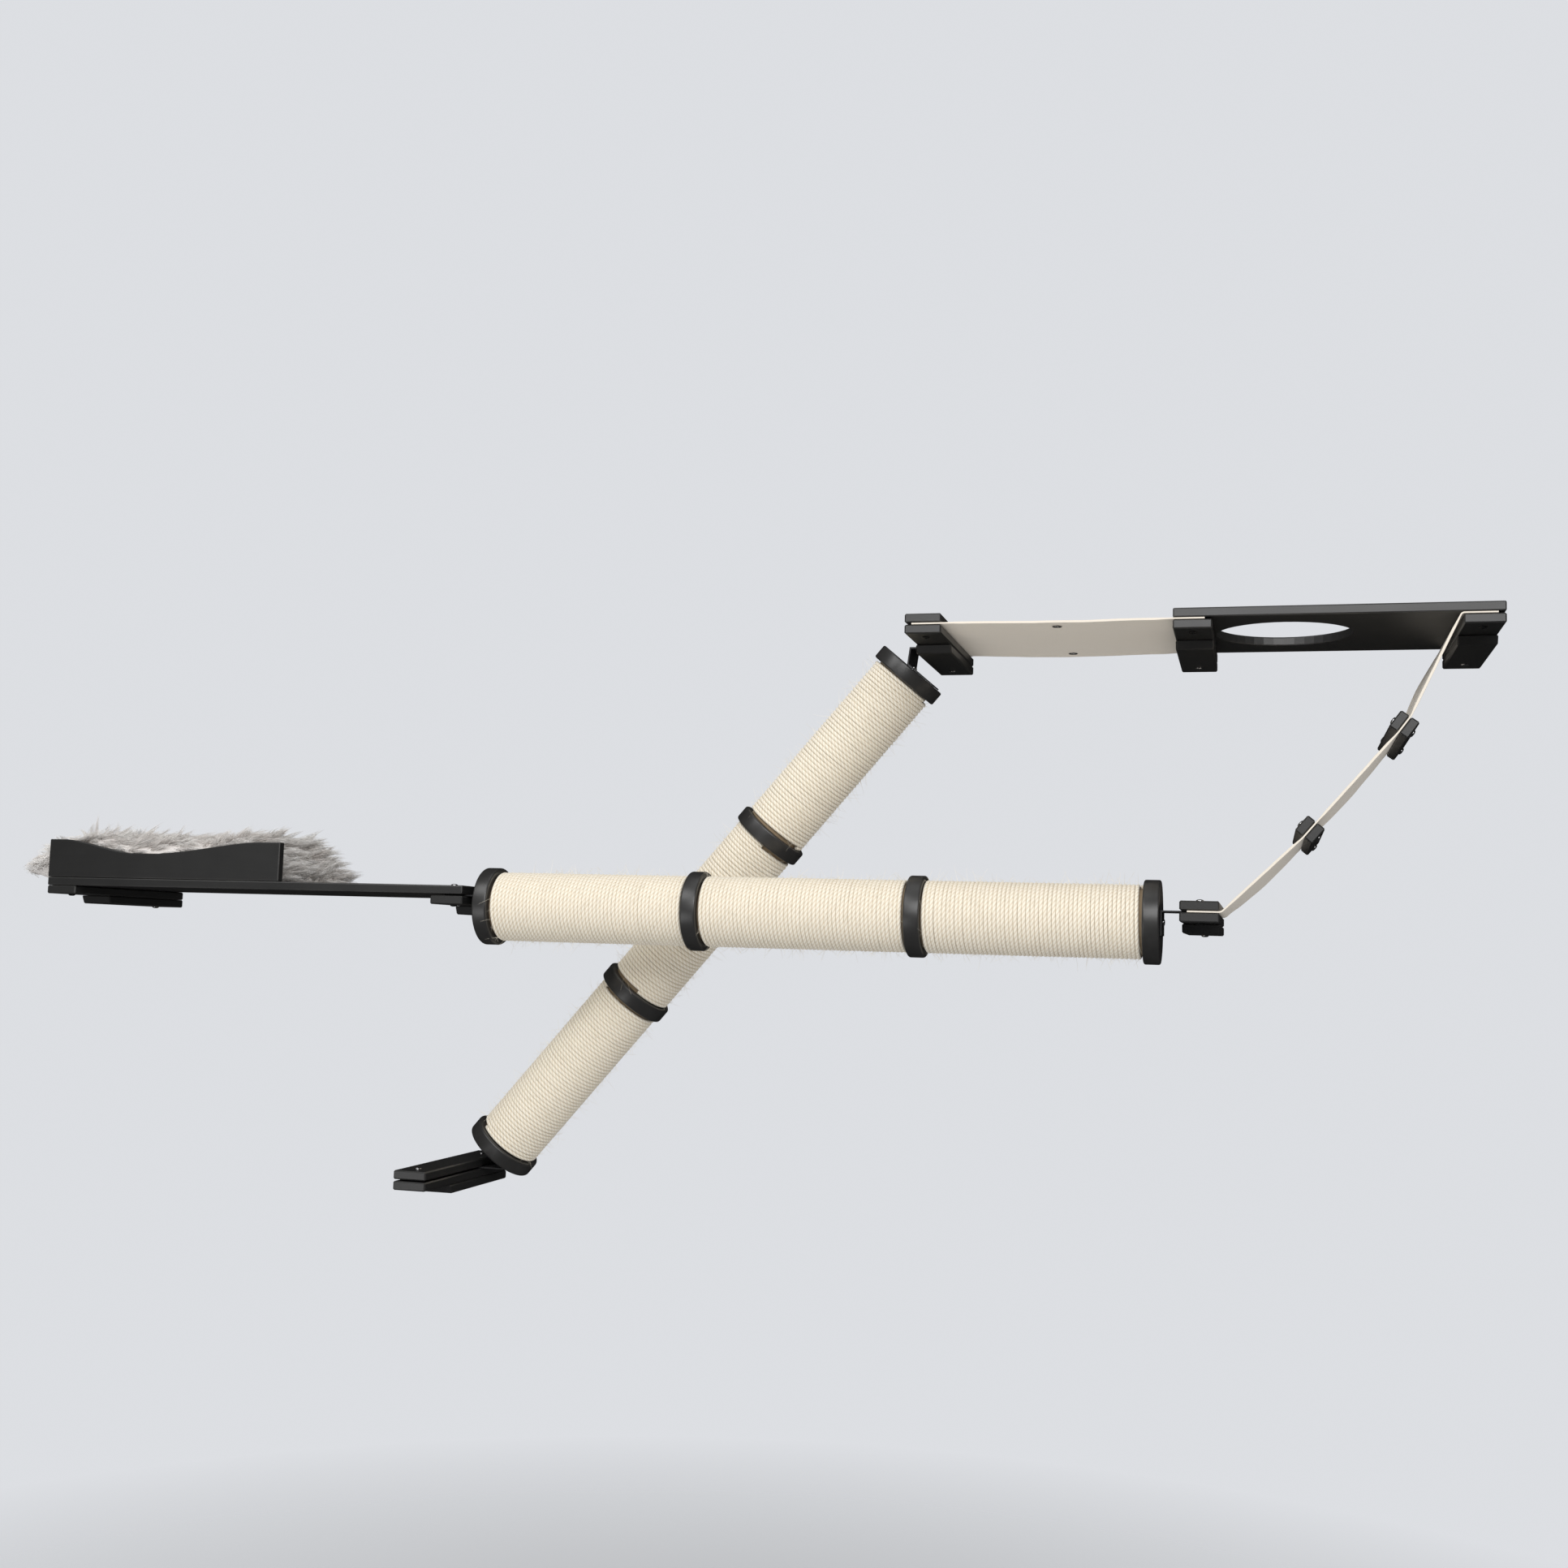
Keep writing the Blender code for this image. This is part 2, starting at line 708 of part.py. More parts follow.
def makePost(name, start, end, depth, sectionNames):
    frame, along = makePostFrame(name, start, end, depth)
    length = (end - start).length
    section = (length - 2 * capWidth - (sectionCount - 1) * ringWidth) / sectionCount
    makeTube(name + "_core", frame, coreRadius - coreWall, coreRadius, capWidth + touchGap,
             length - capWidth - touchGap, cardboard, roundSegments)
    for index, place in enumerate(sectionNames):
        low = capWidth + index * (section + ringWidth)
        makeWinding("%s_winding_%s" % (name, place), frame, low, low + section)
        if index + 1 < sectionCount:
            makeRing("%s_ring_%s" % (name, place), frame, low + section)
    makeCap(name + "_cap_low", frame, 0, 1)
    makeCap(name + "_cap_high", frame, length, -1)
    return along


def makePlate(name, capFace, outward, towards, levelZ, reachX, depth):
    # A bent steel strap: one leaf lies on the cap's end, the other is clamped in a bracket
    middle = capFace + outward * (touchGap + plateThickness / 2)
    rise = (levelZ - middle.y) / towards.y
    path = [middle - towards * plateTail, middle + towards * rise, Vector((reachX, levelZ))]
    return makeSheet(name, path, -depth - plateWidth / 2, -depth + plateWidth / 2, plateThickness, blackSteel)


def makeFoldedPlate(name, capFace, outward, across, levelZ):
    # The upper strap leaves the gap sideways, folds down to the cap and lies along its lower half
    middle = capFace + outward * (touchGap + plateThickness / 2)
    turnX = hammockX - bracketWidth / 2 - foldedSideReach
    path = [middle - across * foldedTail, middle + across * foldedRise, Vector((turnX, levelZ)),
            Vector((hammockX + plateReach, levelZ))]
    front, rear = -rearPostDepth - plateWidth / 2, -rearPostDepth + plateWidth / 2
    return makeSheet(name, path, front, rear, plateThickness, blackSteel)


def makeFrontPost():
    # The front post lies level between the bed and the ladder's foot
    levelZ = middleTop + layerGap / 2
    axisZ = levelZ - frontPostDrop
    start = Vector((bedInnerX + bracketWidth / 2 + frontPostLeftGap, axisZ))
    end = Vector((ladderFootX - bracketWidth / 2 - frontPostRightGap, axisZ))
    along = makePost("front_post", start, end, frontPostDepth, ("left", "centre", "right"))
    up = Vector((0, 1))
    plates = {}
    plates["bed_inner"] = makePlate("plate_bed_inner", start, -along, up, levelZ,
                                    bedInnerX - plateReach, frontPostDepth)
    plates["ladder_foot"] = makePlate("plate_ladder_foot", end, along, up, levelZ,
                                      ladderFootX + plateReach, frontPostDepth)
    return plates


def makeRearPost():
    # The rear post climbs behind the front one, from the post's foot to the hammock bracket
    highZ, lowZ = upperTop + layerGap / 2, lowerTop + layerGap / 2
    start = Vector((postFootX + bracketWidth / 2 + rearPostLowGap, lowZ + rearPostLowRise))
    end = Vector((hammockX - bracketWidth / 2 - rearPostHighGap, highZ - rearPostHighDrop))
    along = makePost("rear_post", start, end, rearPostDepth, ("lower", "centre", "upper"))
    across = Vector((-along.y, along.x))
    makePlate("plate_post_foot", start, -along, -across, lowZ, postFootX - plateReach, rearPostDepth)
    makeFoldedPlate("plate_hammock", end, along, across, highZ)


def notchCloth(cloth, name, x, side, depth, level):
    # The cloth leaves room for the plate that shares its gap; side is the plate's side
    far = x - side * (plateReach + plateNotchGap)
    near = x + side * (bracketWidth / 2 + cutOverrun)
    halfWidth = plateWidth / 2 + plateNotchGap
    low = (min(far, near), -depth - halfWidth, level - cutOverrun)
    high = (max(far, near), -depth + halfWidth, level + cutOverrun)
    cut(cloth, makeBox("notch_" + name, low, high, None, 0, 0, cutters))


def buildTree():
    layers = makeBrackets()
    makeBedPlank()
    makeFrontBoard()
    makeMat()
    makeHatchShelf()
    hammock = makeHammock()
    makeEyelets(hammock)
    line = ladderLine()
    ladder = makeLadderCloth(line)
    makeRung("upper", line["upperRung"], upperRungSlope, ladder["middle"])
    makeRung("lower", line["lowerRung"], lowerRungSlope, ladder["middle"])
    plates = makeFrontPost()
    makeRearPost()
    notchCloth(hammock, "hammock", hammockX, -1, rearPostDepth, upperTop)
    notchCloth(ladder["foot"], "ladder_foot", ladderFootX, -1, frontPostDepth, middleTop)
    clampStrip("hammock", layers["hammock"], [hammock])
    clampStrip("ladder_foot", layers["ladder_foot"], [plates["ladder_foot"]])
    clampStrip("post_foot", layers["post_foot"], [])
    for item in parts.objects:
        smoothRound(item.data)


buildTree()
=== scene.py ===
import math
import random

import bmesh
import bpy
from mathutils import Matrix, Vector, noise


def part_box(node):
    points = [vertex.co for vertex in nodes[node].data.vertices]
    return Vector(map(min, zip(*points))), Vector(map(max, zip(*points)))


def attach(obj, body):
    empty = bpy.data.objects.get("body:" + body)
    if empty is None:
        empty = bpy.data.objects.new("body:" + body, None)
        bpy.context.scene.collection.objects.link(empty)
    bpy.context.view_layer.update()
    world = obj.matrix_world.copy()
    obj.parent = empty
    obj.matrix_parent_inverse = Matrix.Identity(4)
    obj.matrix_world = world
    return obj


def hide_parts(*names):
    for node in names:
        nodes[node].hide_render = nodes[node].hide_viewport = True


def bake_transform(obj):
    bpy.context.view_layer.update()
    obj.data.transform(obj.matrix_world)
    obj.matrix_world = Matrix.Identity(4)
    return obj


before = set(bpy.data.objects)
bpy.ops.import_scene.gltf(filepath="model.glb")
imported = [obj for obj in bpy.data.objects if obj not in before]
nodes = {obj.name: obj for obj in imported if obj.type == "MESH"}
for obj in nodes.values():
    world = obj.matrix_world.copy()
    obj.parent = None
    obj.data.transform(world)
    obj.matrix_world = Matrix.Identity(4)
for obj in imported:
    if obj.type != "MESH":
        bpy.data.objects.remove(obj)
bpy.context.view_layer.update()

# Looks of a wall-mounted tree of shelves, wound posts, a hammock and a cloth ladder.
# Metres, +Z up, the wall at y = 0 and the viewer on the -Y side.

bpy.context.scene.view_settings.view_transform = "Standard"


# ---- camera: a little right of the middle, looking left and slightly up
view = {"yaw": 0.268784, "pitch": 0.093842, "roll": 0.029849, "lens": 40.192,
        "place": (0.103358, -2.948464, -0.498369)}


def makeCamera():
    yaw, pitch, roll = view["yaw"], view["pitch"], view["roll"]
    forward = Vector((-math.sin(yaw) * math.cos(pitch), math.cos(yaw) * math.cos(pitch), math.sin(pitch)))
    right = Vector((math.cos(yaw), math.sin(yaw), 0.0))
    up = right.cross(forward)
    turnedRight = math.cos(roll) * right + math.sin(roll) * up
    turnedUp = math.cos(roll) * up - math.sin(roll) * right
    data = bpy.data.cameras.new("camera")
    data.sensor_width = 36.0
    data.lens = view["lens"]
    camera = bpy.data.objects.new("camera", data)
    turn = Matrix((turnedRight, turnedUp, -forward)).transposed().to_4x4()
    camera.matrix_world = Matrix.Translation(Vector(view["place"])) @ turn
    bpy.context.scene.collection.objects.link(camera)
    bpy.context.scene.camera = camera


makeCamera()
print("camera done")


# ---- shader maths and finishes
class Value:
    # wraps a socket so that shader maths reads as a plain expression
    def __init__(self, finish, socket):
        self.finish = finish
        self.socket = socket

    def __add__(self, other):
        return self.finish.maths("ADD", self, other)

    def __radd__(self, other):
        return self.finish.maths("ADD", other, self)

    def __sub__(self, other):
        return self.finish.maths("SUBTRACT", self, other)

    def __rsub__(self, other):
        return self.finish.maths("SUBTRACT", other, self)

    def __mul__(self, other):
        return self.finish.maths("MULTIPLY", self, other)

    def __rmul__(self, other):
        return self.finish.maths("MULTIPLY", other, self)

    def __pow__(self, other):
        return self.finish.maths("POWER", self, other)


class Finish:
    # the nodes of a material, or of the world
    def __init__(self, name, kind="materials"):
        self.owner = getattr(bpy.data, kind).new(name)
        self.owner.use_nodes = True
        self.tree = self.owner.node_tree
        self.tree.nodes.clear()

    def node(self, kind, settings=None, inputs=None, output=0):
        made = self.tree.nodes.new(kind)
        for key, setting in (settings or {}).items():
            if key == "stops":
                stops = made.color_ramp.elements
                while len(stops) < len(setting):
                    stops.new(0.5)
                for stop, (position, colour) in zip(stops, setting):
                    stop.position = position
                    stop.color = (*colour, 1.0)
            else:
                setattr(made, key, setting)
        for key, value in (inputs or {}).items():
            if isinstance(value, Value):
                self.tree.links.new(value.socket, made.inputs[key])
            else:
                made.inputs[key].default_value = value
        return Value(self, made.outputs[output]) if made.outputs else None

    def maths(self, operation, first, second=0.0):
        return self.node("ShaderNodeMath", {"operation": operation}, {0: first, 1: second})

    def clamped(self, value):
        return self.node("ShaderNodeClamp", {}, {"Value": value})

    def place(self, scale=(1, 1, 1), turn=(0, 0, 0), shift=(0, 0, 0)):
        spot = self.node("ShaderNodeTexCoord", output="Object")
        return self.node("ShaderNodeMapping", {}, {"Vector": spot, "Scale": scale, "Rotation": turn,
                                                   "Location": shift})

    def alongPiece(self):
        # both coordinates of the piece's own UV map
        return self.parted(self.node("ShaderNodeUVMap", {"uv_map": "along"}))[:2]

    def parted(self, vector):
        return [self.node("ShaderNodeSeparateXYZ", {}, {0: vector}, axis) for axis in (0, 1, 2)]

    def joined(self, x, y, z=0.0):
        return self.node("ShaderNodeCombineXYZ", {}, {0: x, 1: y, 2: z})

    def cloudy(self, vector, scale=1.0, detail=4.0, rough=0.5, twist=0.0):
        return self.node("ShaderNodeTexNoise", {}, {"Vector": vector, "Scale": scale, "Detail": detail,
                                                    "Roughness": rough, "Distortion": twist})

    def blended(self, share, first, second):
        ends = [value if isinstance(value, Value) else (*value, 1.0) for value in (first, second)]
        return self.node("ShaderNodeMix", {"data_type": "RGBA"}, {0: share, 6: ends[0], 7: ends[1]}, 2)

    def ramp(self, value, stops):
        return self.node("ShaderNodeValToRGB", {"stops": stops}, {0: value})

    def bumped(self, height, strength, distance, under=None):
        inputs = {"Height": height, "Strength": strength, "Distance": distance}
        if under:
            inputs["Normal"] = under
        return self.node("ShaderNodeBump", {}, inputs)

    def surface(self, inputs):
        return self.ended(self.node("ShaderNodeBsdfPrincipled", {}, inputs))

    def ended(self, shader):
        self.node("ShaderNodeOutputMaterial", {}, {"Surface": shader})
        return self.owner


def dress(piece, *materials):
    piece.data.materials.clear()
    for material in materials:
        piece.data.materials.append(material)


def paintNode(name, material):
    for place in nodes[name].material_slots:
        place.material = material


# ---- ways of modelling shared by several pieces
def startPrimitive():
    if bpy.context.object and bpy.context.object.mode != "OBJECT":
        bpy.ops.object.mode_set(mode="OBJECT")
    bpy.ops.object.select_all(action="DESELECT")


def cylinderAt(place, radius, depth, sides):
    startPrimitive()
    bpy.ops.mesh.primitive_cylinder_add(vertices=sides, radius=radius, depth=depth, location=place)
    return bpy.context.object


def boxAt(place, size):
    startPrimitive()
    bpy.ops.mesh.primitive_cube_add(size=1, location=place, scale=size)
    return bpy.context.object


def selectOnly(*pieces):
    startPrimitive()
    for piece in pieces:
        piece.select_set(True)
    bpy.context.view_layer.objects.active = pieces[0]


def editSelect(piece, kind, test):
    # only the faces, edges or vertices that pass the test stay selected
    shape = bmesh.from_edit_mesh(piece.data)
    for group in (shape.faces, shape.edges, shape.verts):
        for part in group:
            part.select_set(False)
    bpy.ops.mesh.select_mode(type=kind)
    shape = bmesh.from_edit_mesh(piece.data)
    for part in {"FACE": shape.faces, "EDGE": shape.edges, "VERT": shape.verts}[kind]:
        if test(part):
            part.select_set(True)
    bmesh.update_edit_mesh(piece.data)


def spinRound(steps):
    # what is selected turns once round the z axis
    bpy.ops.mesh.spin(steps=steps, angle=2 * math.pi, center=(0, 0, 0), axis=(0, 0, 1),
                      use_auto_merge=True)


def settle(piece):
    # the place goes into the mesh and the object goes to the origin
    if bpy.context.object.mode != "OBJECT":
        bpy.ops.object.mode_set(mode="OBJECT")
    bpy.context.view_layer.update()
    piece.data.transform(piece.matrix_world)
    piece.matrix_world = Matrix.Identity(4)
    piece.data.update()


def copyPiece(piece, name, placing):
    twin = piece.copy()
    twin.data = piece.data.copy()
    twin.name = name
    twin.data.name = name
    twin.data.transform(placing)
    bpy.context.scene.collection.objects.link(twin)
    return twin


def bodyMesh(name, points, faces, uvs=None):
    mesh = bpy.data.meshes.new(name)
    mesh.from_pydata(points, [], faces)
    if uvs is not None:
        layer = mesh.uv_layers.new(name="along")
        flat = [number for pair in uvs for number in pair]
        layer.data.foreach_set("uv", flat)
    mesh.validate()
    mesh.update()
    piece = bpy.data.objects.new(name, mesh)
    bpy.context.scene.collection.objects.link(piece)
    return piece


def smoothen(piece, angle=40):
    selectOnly(piece)
    bpy.ops.object.shade_smooth_by_angle(angle=math.radians(angle))


def carve(piece, cutter):
    selectOnly(piece)
    change = piece.modifiers.new("carved", "BOOLEAN")
    change.operation = "DIFFERENCE"
    change.solver = "EXACT"
    change.object = cutter
    bpy.ops.object.modifier_apply(modifier=change.name)
    bpy.data.objects.remove(cutter, do_unlink=True)


def turnOutward(piece, spare=None):
    # the faces that pass the spare test go, and the rest turn outward
    shape = bmesh.new()
    shape.from_mesh(piece.data)
    if spare:
        bmesh.ops.delete(shape, geom=[face for face in shape.faces if spare(face)], context="FACES_ONLY")
    bmesh.ops.recalc_face_normals(shape, faces=shape.faces)
    shape.to_mesh(piece.data)
    shape.free()


def bandFaces(first, bands, sides, swapped=False):
    # quads between successive rings of points; swapped where the rings run the other way
    faces = []
    for step in range(bands):
        near, far = first + step * sides, first + (step + 1) * sides
        for corner in range(sides):
            after = (corner + 1) % sides
            if swapped:
                faces.append((near + corner, far + corner, far + after, near + after))
            else:
                faces.append((near + corner, near + after, far + after, far + corner))
    return faces


def tubeFaces(first, rows, sides, swapped=False):
    # a tube with both ends closed
    last = first + (rows - 1) * sides
    low, high = tuple(range(first, first + sides)), tuple(range(last, last + sides))
    ends = [low, high[::-1]] if swapped else [low[::-1], high]
    return bandFaces(first, rows - 1, sides, swapped) + ends


def hairFaces(first, rings):
    # a three-sided hair: its bands, its tip and its closed root
    last, tip = first + (rings - 1) * 3, first + rings * 3
    tips = [(last + corner, last + (corner + 1) % 3, tip) for corner in range(3)]
    return bandFaces(first, rings - 1, 3) + tips + [(first + 2, first + 1, first)]


def cornersRound(spot, heading, radius):
    # the three corners of a hair at one spot
    side = heading.orthogonal().normalized()
    other = heading.cross(side)
    spins = [2 * math.pi * corner / 3 for corner in range(3)]
    return [spot + (side * math.cos(spin) + other * math.sin(spin)) * radius for spin in spins]


# ---- posts: where their axes run, and what stands on them
posts = {
    "front_post": {"start": (-1.1404, -0.44235), "end": (-0.0441, -0.44235), "depth": 0.265,
                   "rings": ("left", "centre"), "windings": ("left", "centre", "right")},
    "rear_post": {"start": (-1.1851, -0.86485), "end": (-0.4690, -0.02235), "depth": 0.072,
                  "rings": ("lower", "centre"), "windings": ("lower", "centre", "upper")},
}
disc = {"radius": 0.0635, "width": 0.025, "edge": 0.003, "core": 0.0497, "slack": 0.0003, "sides": 96,
        "rim": 0.0035, "groove": 0.0006, "grooveDepth": 0.0004, "face": 0.042,
        "spigot": 0.0454, "spigotLength": 0.030, "spigotWall": 0.005, "spigotFloor": 0.002}


def postPlacing(post):
    start, end = Vector(post["start"]), Vector(post["end"])
    along = (end - start).normalized()
    turn = Matrix.Rotation(math.atan2(along.x, along.y), 4, "Y")
    return Matrix.Translation((start.x, -post["depth"], start.y)) @ turn, (end - start).length


def sectionLength(length):
    # two caps and two rings leave three equal windings
    return (length - 4 * disc["width"]) / 3


def makeCap():
    # a turned disc, its rims rounded, a shallow step on its outer face and a spigot behind
    cap = cylinderAt((0, 0, disc["width"] / 2), disc["radius"], disc["width"], disc["sides"])
    bpy.ops.object.mode_set(mode="EDIT")
    editSelect(cap, "EDGE", lambda edge: len({round(v.co.z, 5) for v in edge.verts}) == 1)
    bpy.ops.mesh.bevel(offset=disc["edge"], segments=5, profile=0.5, affect="EDGES")
    editSelect(cap, "FACE", lambda face: face.normal.z < -0.99)
    bpy.ops.mesh.inset(thickness=disc["rim"], depth=0)
    bpy.ops.mesh.inset(thickness=disc["groove"], depth=-disc["grooveDepth"])
    bpy.ops.mesh.inset(thickness=disc["face"], depth=0)
    editSelect(cap, "FACE", lambda face: face.normal.z > 0.99)
    bpy.ops.mesh.inset(thickness=disc["radius"] - disc["edge"] - disc["spigot"], depth=0)
    bpy.ops.mesh.extrude_region_move(TRANSFORM_OT_translate={"value": (0, 0, disc["spigotLength"])})
    bpy.ops.mesh.inset(thickness=disc["spigotWall"], depth=0)
    back = -disc["spigotLength"] + disc["spigotFloor"]
    bpy.ops.mesh.extrude_region_move(TRANSFORM_OT_translate={"value": (0, 0, back)})
    settle(cap)
    return cap


def makeRing():
    # a rounded strip spun round the post
    startPrimitive()
    inner = disc["core"] + disc["slack"]
    bpy.ops.mesh.primitive_plane_add(size=1, location=((inner + disc["radius"]) / 2, 0, disc["width"] / 2),
                                     rotation=(math.pi / 2, 0, 0))
    ring = bpy.context.object
    ring.scale = (disc["radius"] - inner, disc["width"], 1)
    settle(ring)
    bpy.ops.object.mode_set(mode="EDIT")
    editSelect(ring, "VERT", lambda vert: vert.co.x > (inner + disc["radius"]) / 2)
    bpy.ops.mesh.bevel(offset=disc["edge"], segments=5, affect="VERTICES")
    bpy.ops.mesh.select_all(action="SELECT")
    spinRound(disc["sides"])
    bpy.ops.mesh.select_all(action="SELECT")
    bpy.ops.mesh.remove_doubles(threshold=0.00002)
    settle(ring)
    turnOutward(ring, lambda face: abs(face.normal.z) < 0.001 and len(face.verts) > 4)
    return ring


def satinBlack():
    # sprayed discs: nearly smooth, with a fine haze and soft handling marks
    finish = Finish("satin_black_discs")
    spot = finish.place()
    mottled = finish.cloudy(spot, 38, 5, 0.6)
    speck = finish.cloudy(spot, 950, 2, 0.5)
    rubbed = finish.cloudy(finish.place((6, 22, 22)), 9, 6, 0.7, 0.4)
    colour = finish.blended(mottled, (0.017, 0.0165, 0.016), (0.034, 0.033, 0.032))
    gloss = 0.30 + rubbed * 0.14
    grain = finish.bumped(speck, 0.22, 0.0002)
    return finish.surface({"Base Color": colour, "Roughness": gloss, "Normal": grain,
                           "Specular IOR Level": 0.75, "Coat Weight": 0.08, "Coat Roughness": 0.3})


discFinish = satinBlack()


def makeDiscs():
    cap, ring = makeCap(), makeRing()
    flip = Matrix.Rotation(math.pi, 4, "X")
    for name, post in posts.items():
        placing, length = postPlacing(post)
        section = sectionLength(length)
        highEnd = placing @ Matrix.Translation((0, 0, length)) @ flip
        spots = [("cap_low", cap, placing), ("cap_high", cap, highEnd)]
        for index, where in enumerate(post["rings"]):
            low = disc["width"] + section + index * (section + disc["width"])
            spots.append(("ring_" + where, ring, placing @ Matrix.Translation((0, 0, low))))
        for where, model, spot in spots:
            piece = copyPiece(model, "disc_%s_%s" % (name, where), spot)
            dress(piece, discFinish)
            smoothen(piece, 35)
            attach(piece, "wall_frame")
            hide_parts("%s_%s" % (name, where))
    for model in (cap, ring):
        bpy.data.objects.remove(model, do_unlink=True)


makeDiscs()
print("caps and rings done")


# ---- rope round the posts, one piece a section, and its loose fibres
rope = {"radius": 0.0032, "wound": 0.0533, "steps": 44, "sides": 10, "gap": 0.0003, "lay": 0.024,
        "wander": 0.00022, "swell": 0.00018, "slack": 0.00030}
fibre = {"count": 1000, "thick": 0.00019, "taper": 0.55, "shortest": 0.006, "longest": 0.034, "steps": 5,
         "margin": 0.004, "wall": -0.0015, "flattened": 0.02}


def sisalRope():
    # three twisted strands of pale plant fibre; u runs along the rope in metres, v once round it
    finish = Finish("sisal_rope")
    along, around = finish.alongPiece()
    strand = around * 3 + along * (3 / rope["lay"])
    crest = finish.maths("ABSOLUTE", finish.maths("SINE", strand * math.pi))
    hair = finish.cloudy(finish.joined(along * 120, strand * 7), 1.0, 5, 0.65)
    fine = finish.cloudy(finish.joined(along * 420, strand * 16), 1.0, 3, 0.6)
    bale = finish.cloudy(finish.joined(along * 2.2, 0.0), 1.0, 3, 0.5)
    fleck = finish.ramp(finish.cloudy(finish.joined(along * 60, strand * 9, 4.0), 1.0, 2, 0.5),
                        [(0.60, (0, 0, 0)), (0.74, (1, 1, 1))])
    pale = finish.blended(bale, (0.90, 0.845, 0.72), (0.94, 0.90, 0.80))
    # painted shade: the colour darkens from each strand's crest into the grooves between strands
    body = finish.blended(crest ** 0.55, (0.68, 0.56, 0.40), pale)
    streaked = finish.blended(hair * 0.34, body, (0.78, 0.68, 0.525))
    colour = finish.blended(finish.parted(fleck)[0] * 0.35, streaked, (0.66, 0.53, 0.35))
    height = crest ** 0.5 + hair * 0.55 + fine * 0.22
    relief = finish.bumped(height, 0.85, 0.0007)
    return finish.surface({"Base Color": colour, "Roughness": 0.86, "Normal": relief,
                           "Specular IOR Level": 0.25, "Sheen Weight": 0.15, "Sheen Roughness": 0.5})


def looseFibre():
    finish = Finish("loose_fibre")
    tone = finish.cloudy(finish.place(), 140, 2)
    colour = finish.blended(tone, (0.70, 0.62, 0.47), (0.90, 0.86, 0.77))
    return finish.surface({"Base Color": colour, "Roughness": 0.7, "Specular IOR Level": 0.3})


ropeFinish = sisalRope()
fibreFinish = looseFibre()


def windRope(name, placing, low, high, seed):
    radius, sides, steps = rope["radius"], rope["sides"], rope["steps"]
    room = high - low - 2 * rope["gap"] - 2 * radius
    turns = round(room / (2 * radius))
    pitch = room / turns
    points = []
    rings = turns * steps + 1
    for index in range(rings):
        turn = index / steps
        angle = 2 * math.pi * turn + seed
        wander = noise.noise(Vector((turn * 1.7, seed * 3.1, 0.0))) * rope["wander"]
        swell = noise.noise(Vector((turn * 5.3, seed * 7.7, 2.0))) * rope["swell"]
        slack = noise.noise(Vector((turn * 0.9, seed * 5.5, 5.0))) * rope["slack"]
        outward = Vector((math.cos(angle), math.sin(angle), 0))
        height = low + rope["gap"] + radius + pitch * turn + (wander if 0 < index < rings - 1 else 0)
        for side in range(sides):
            around = 2 * math.pi * side / sides
            reach = rope["wound"] + slack * 0.5 + (radius + swell) * math.cos(around)
            rise = height + (radius + swell) * math.sin(around)
            points.append(placing @ (outward * reach + Vector((0, 0, rise))))
    faces, uvs = tubeFaces(0, rings, sides, swapped=True), []
    ringStep = 2 * math.pi * rope["wound"] / steps
    for index in range(rings - 1):
        for side in range(sides):
            u, v = index * ringStep, side / sides
            uvs += [(u, v), (u + ringStep, v), (u + ringStep, v + 1 / sides), (u, v + 1 / sides)]
    uvs += [(0, side / sides) for side in range(sides)]
    uvs += [(rings * ringStep, side / sides) for side in reversed(range(sides))]
    winding = bodyMesh(name, points, faces, uvs)
    winding.data.shade_smooth()
    return winding


def pullFibres(name, placing, low, high, seed):
    # fine hairs that have worked loose and stand off the rope
    dice = random.Random(seed)
    points, faces = [], []
    surface = rope["wound"] + rope["radius"] * 0.8
    for index in range(fibre["count"]):
        angle = dice.uniform(0, 2 * math.pi)
        height = dice.uniform(low + fibre["margin"], high - fibre["margin"])
        length = fibre["shortest"] + (fibre["longest"] - fibre["shortest"]) * dice.random() ** 2.6
        outward = Vector((math.cos(angle), math.sin(angle), 0))
        along = Vector((-math.sin(angle), math.cos(angle), 0)) * dice.choice((-1, 1))
        heading = (along * dice.uniform(0.3, 1.0) + outward * dice.uniform(0.25, 0.9)
                   + Vector((0, 0, dice.uniform(-0.8, 0.8)))).normalized()
        curl = Vector([dice.uniform(-1, 1) for axis in range(3)]) * dice.uniform(0.1, 0.55)
        spot = outward * surface + Vector((0, 0, height))
        first, count = len(points), fibre["steps"]
        for step in range(count):
            thick = fibre["thick"] * (1.0 - fibre["taper"] * step / count)
            points += [placing @ corner for corner in cornersRound(spot, heading, thick)]
            spot = spot + heading * (length / count)
            heading = (heading + curl / count).normalized()
            reach = math.hypot(spot.x, spot.y)
            if reach < surface:
                spot = Vector((spot.x * surface / reach, spot.y * surface / reach, spot.z))
        points.append(placing @ spot)
        faces += hairFaces(first, count)
    # what would pass into the wall lies flat against it
    for point in points:
        point.y = min(point.y, fibre["wall"] + (point.y - fibre["wall"]) * fibre["flattened"])
    return bodyMesh(name, points, faces)


def makeWindings():
    for row, (name, post) in enumerate(posts.items()):
        placing, length = postPlacing(post)
        section = sectionLength(length)
        for index, where in enumerate(post["windings"]):
            low = disc["width"] + index * (section + disc["width"])
            seed = 1 + row * 3 + index
            winding = windRope("rope_%s_%s" % (name, where), placing, low, low + section, seed)
            dress(winding, ropeFinish)
            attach(winding, "wall_frame")
            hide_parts("%s_winding_%s" % (name, where))
            fibres = pullFibres("fibres_%s_%s" % (name, where), placing, low, low + section, seed)
            dress(fibres, fibreFinish)
            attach(fibres, "wall_frame")


makeWindings()
print("windings done")


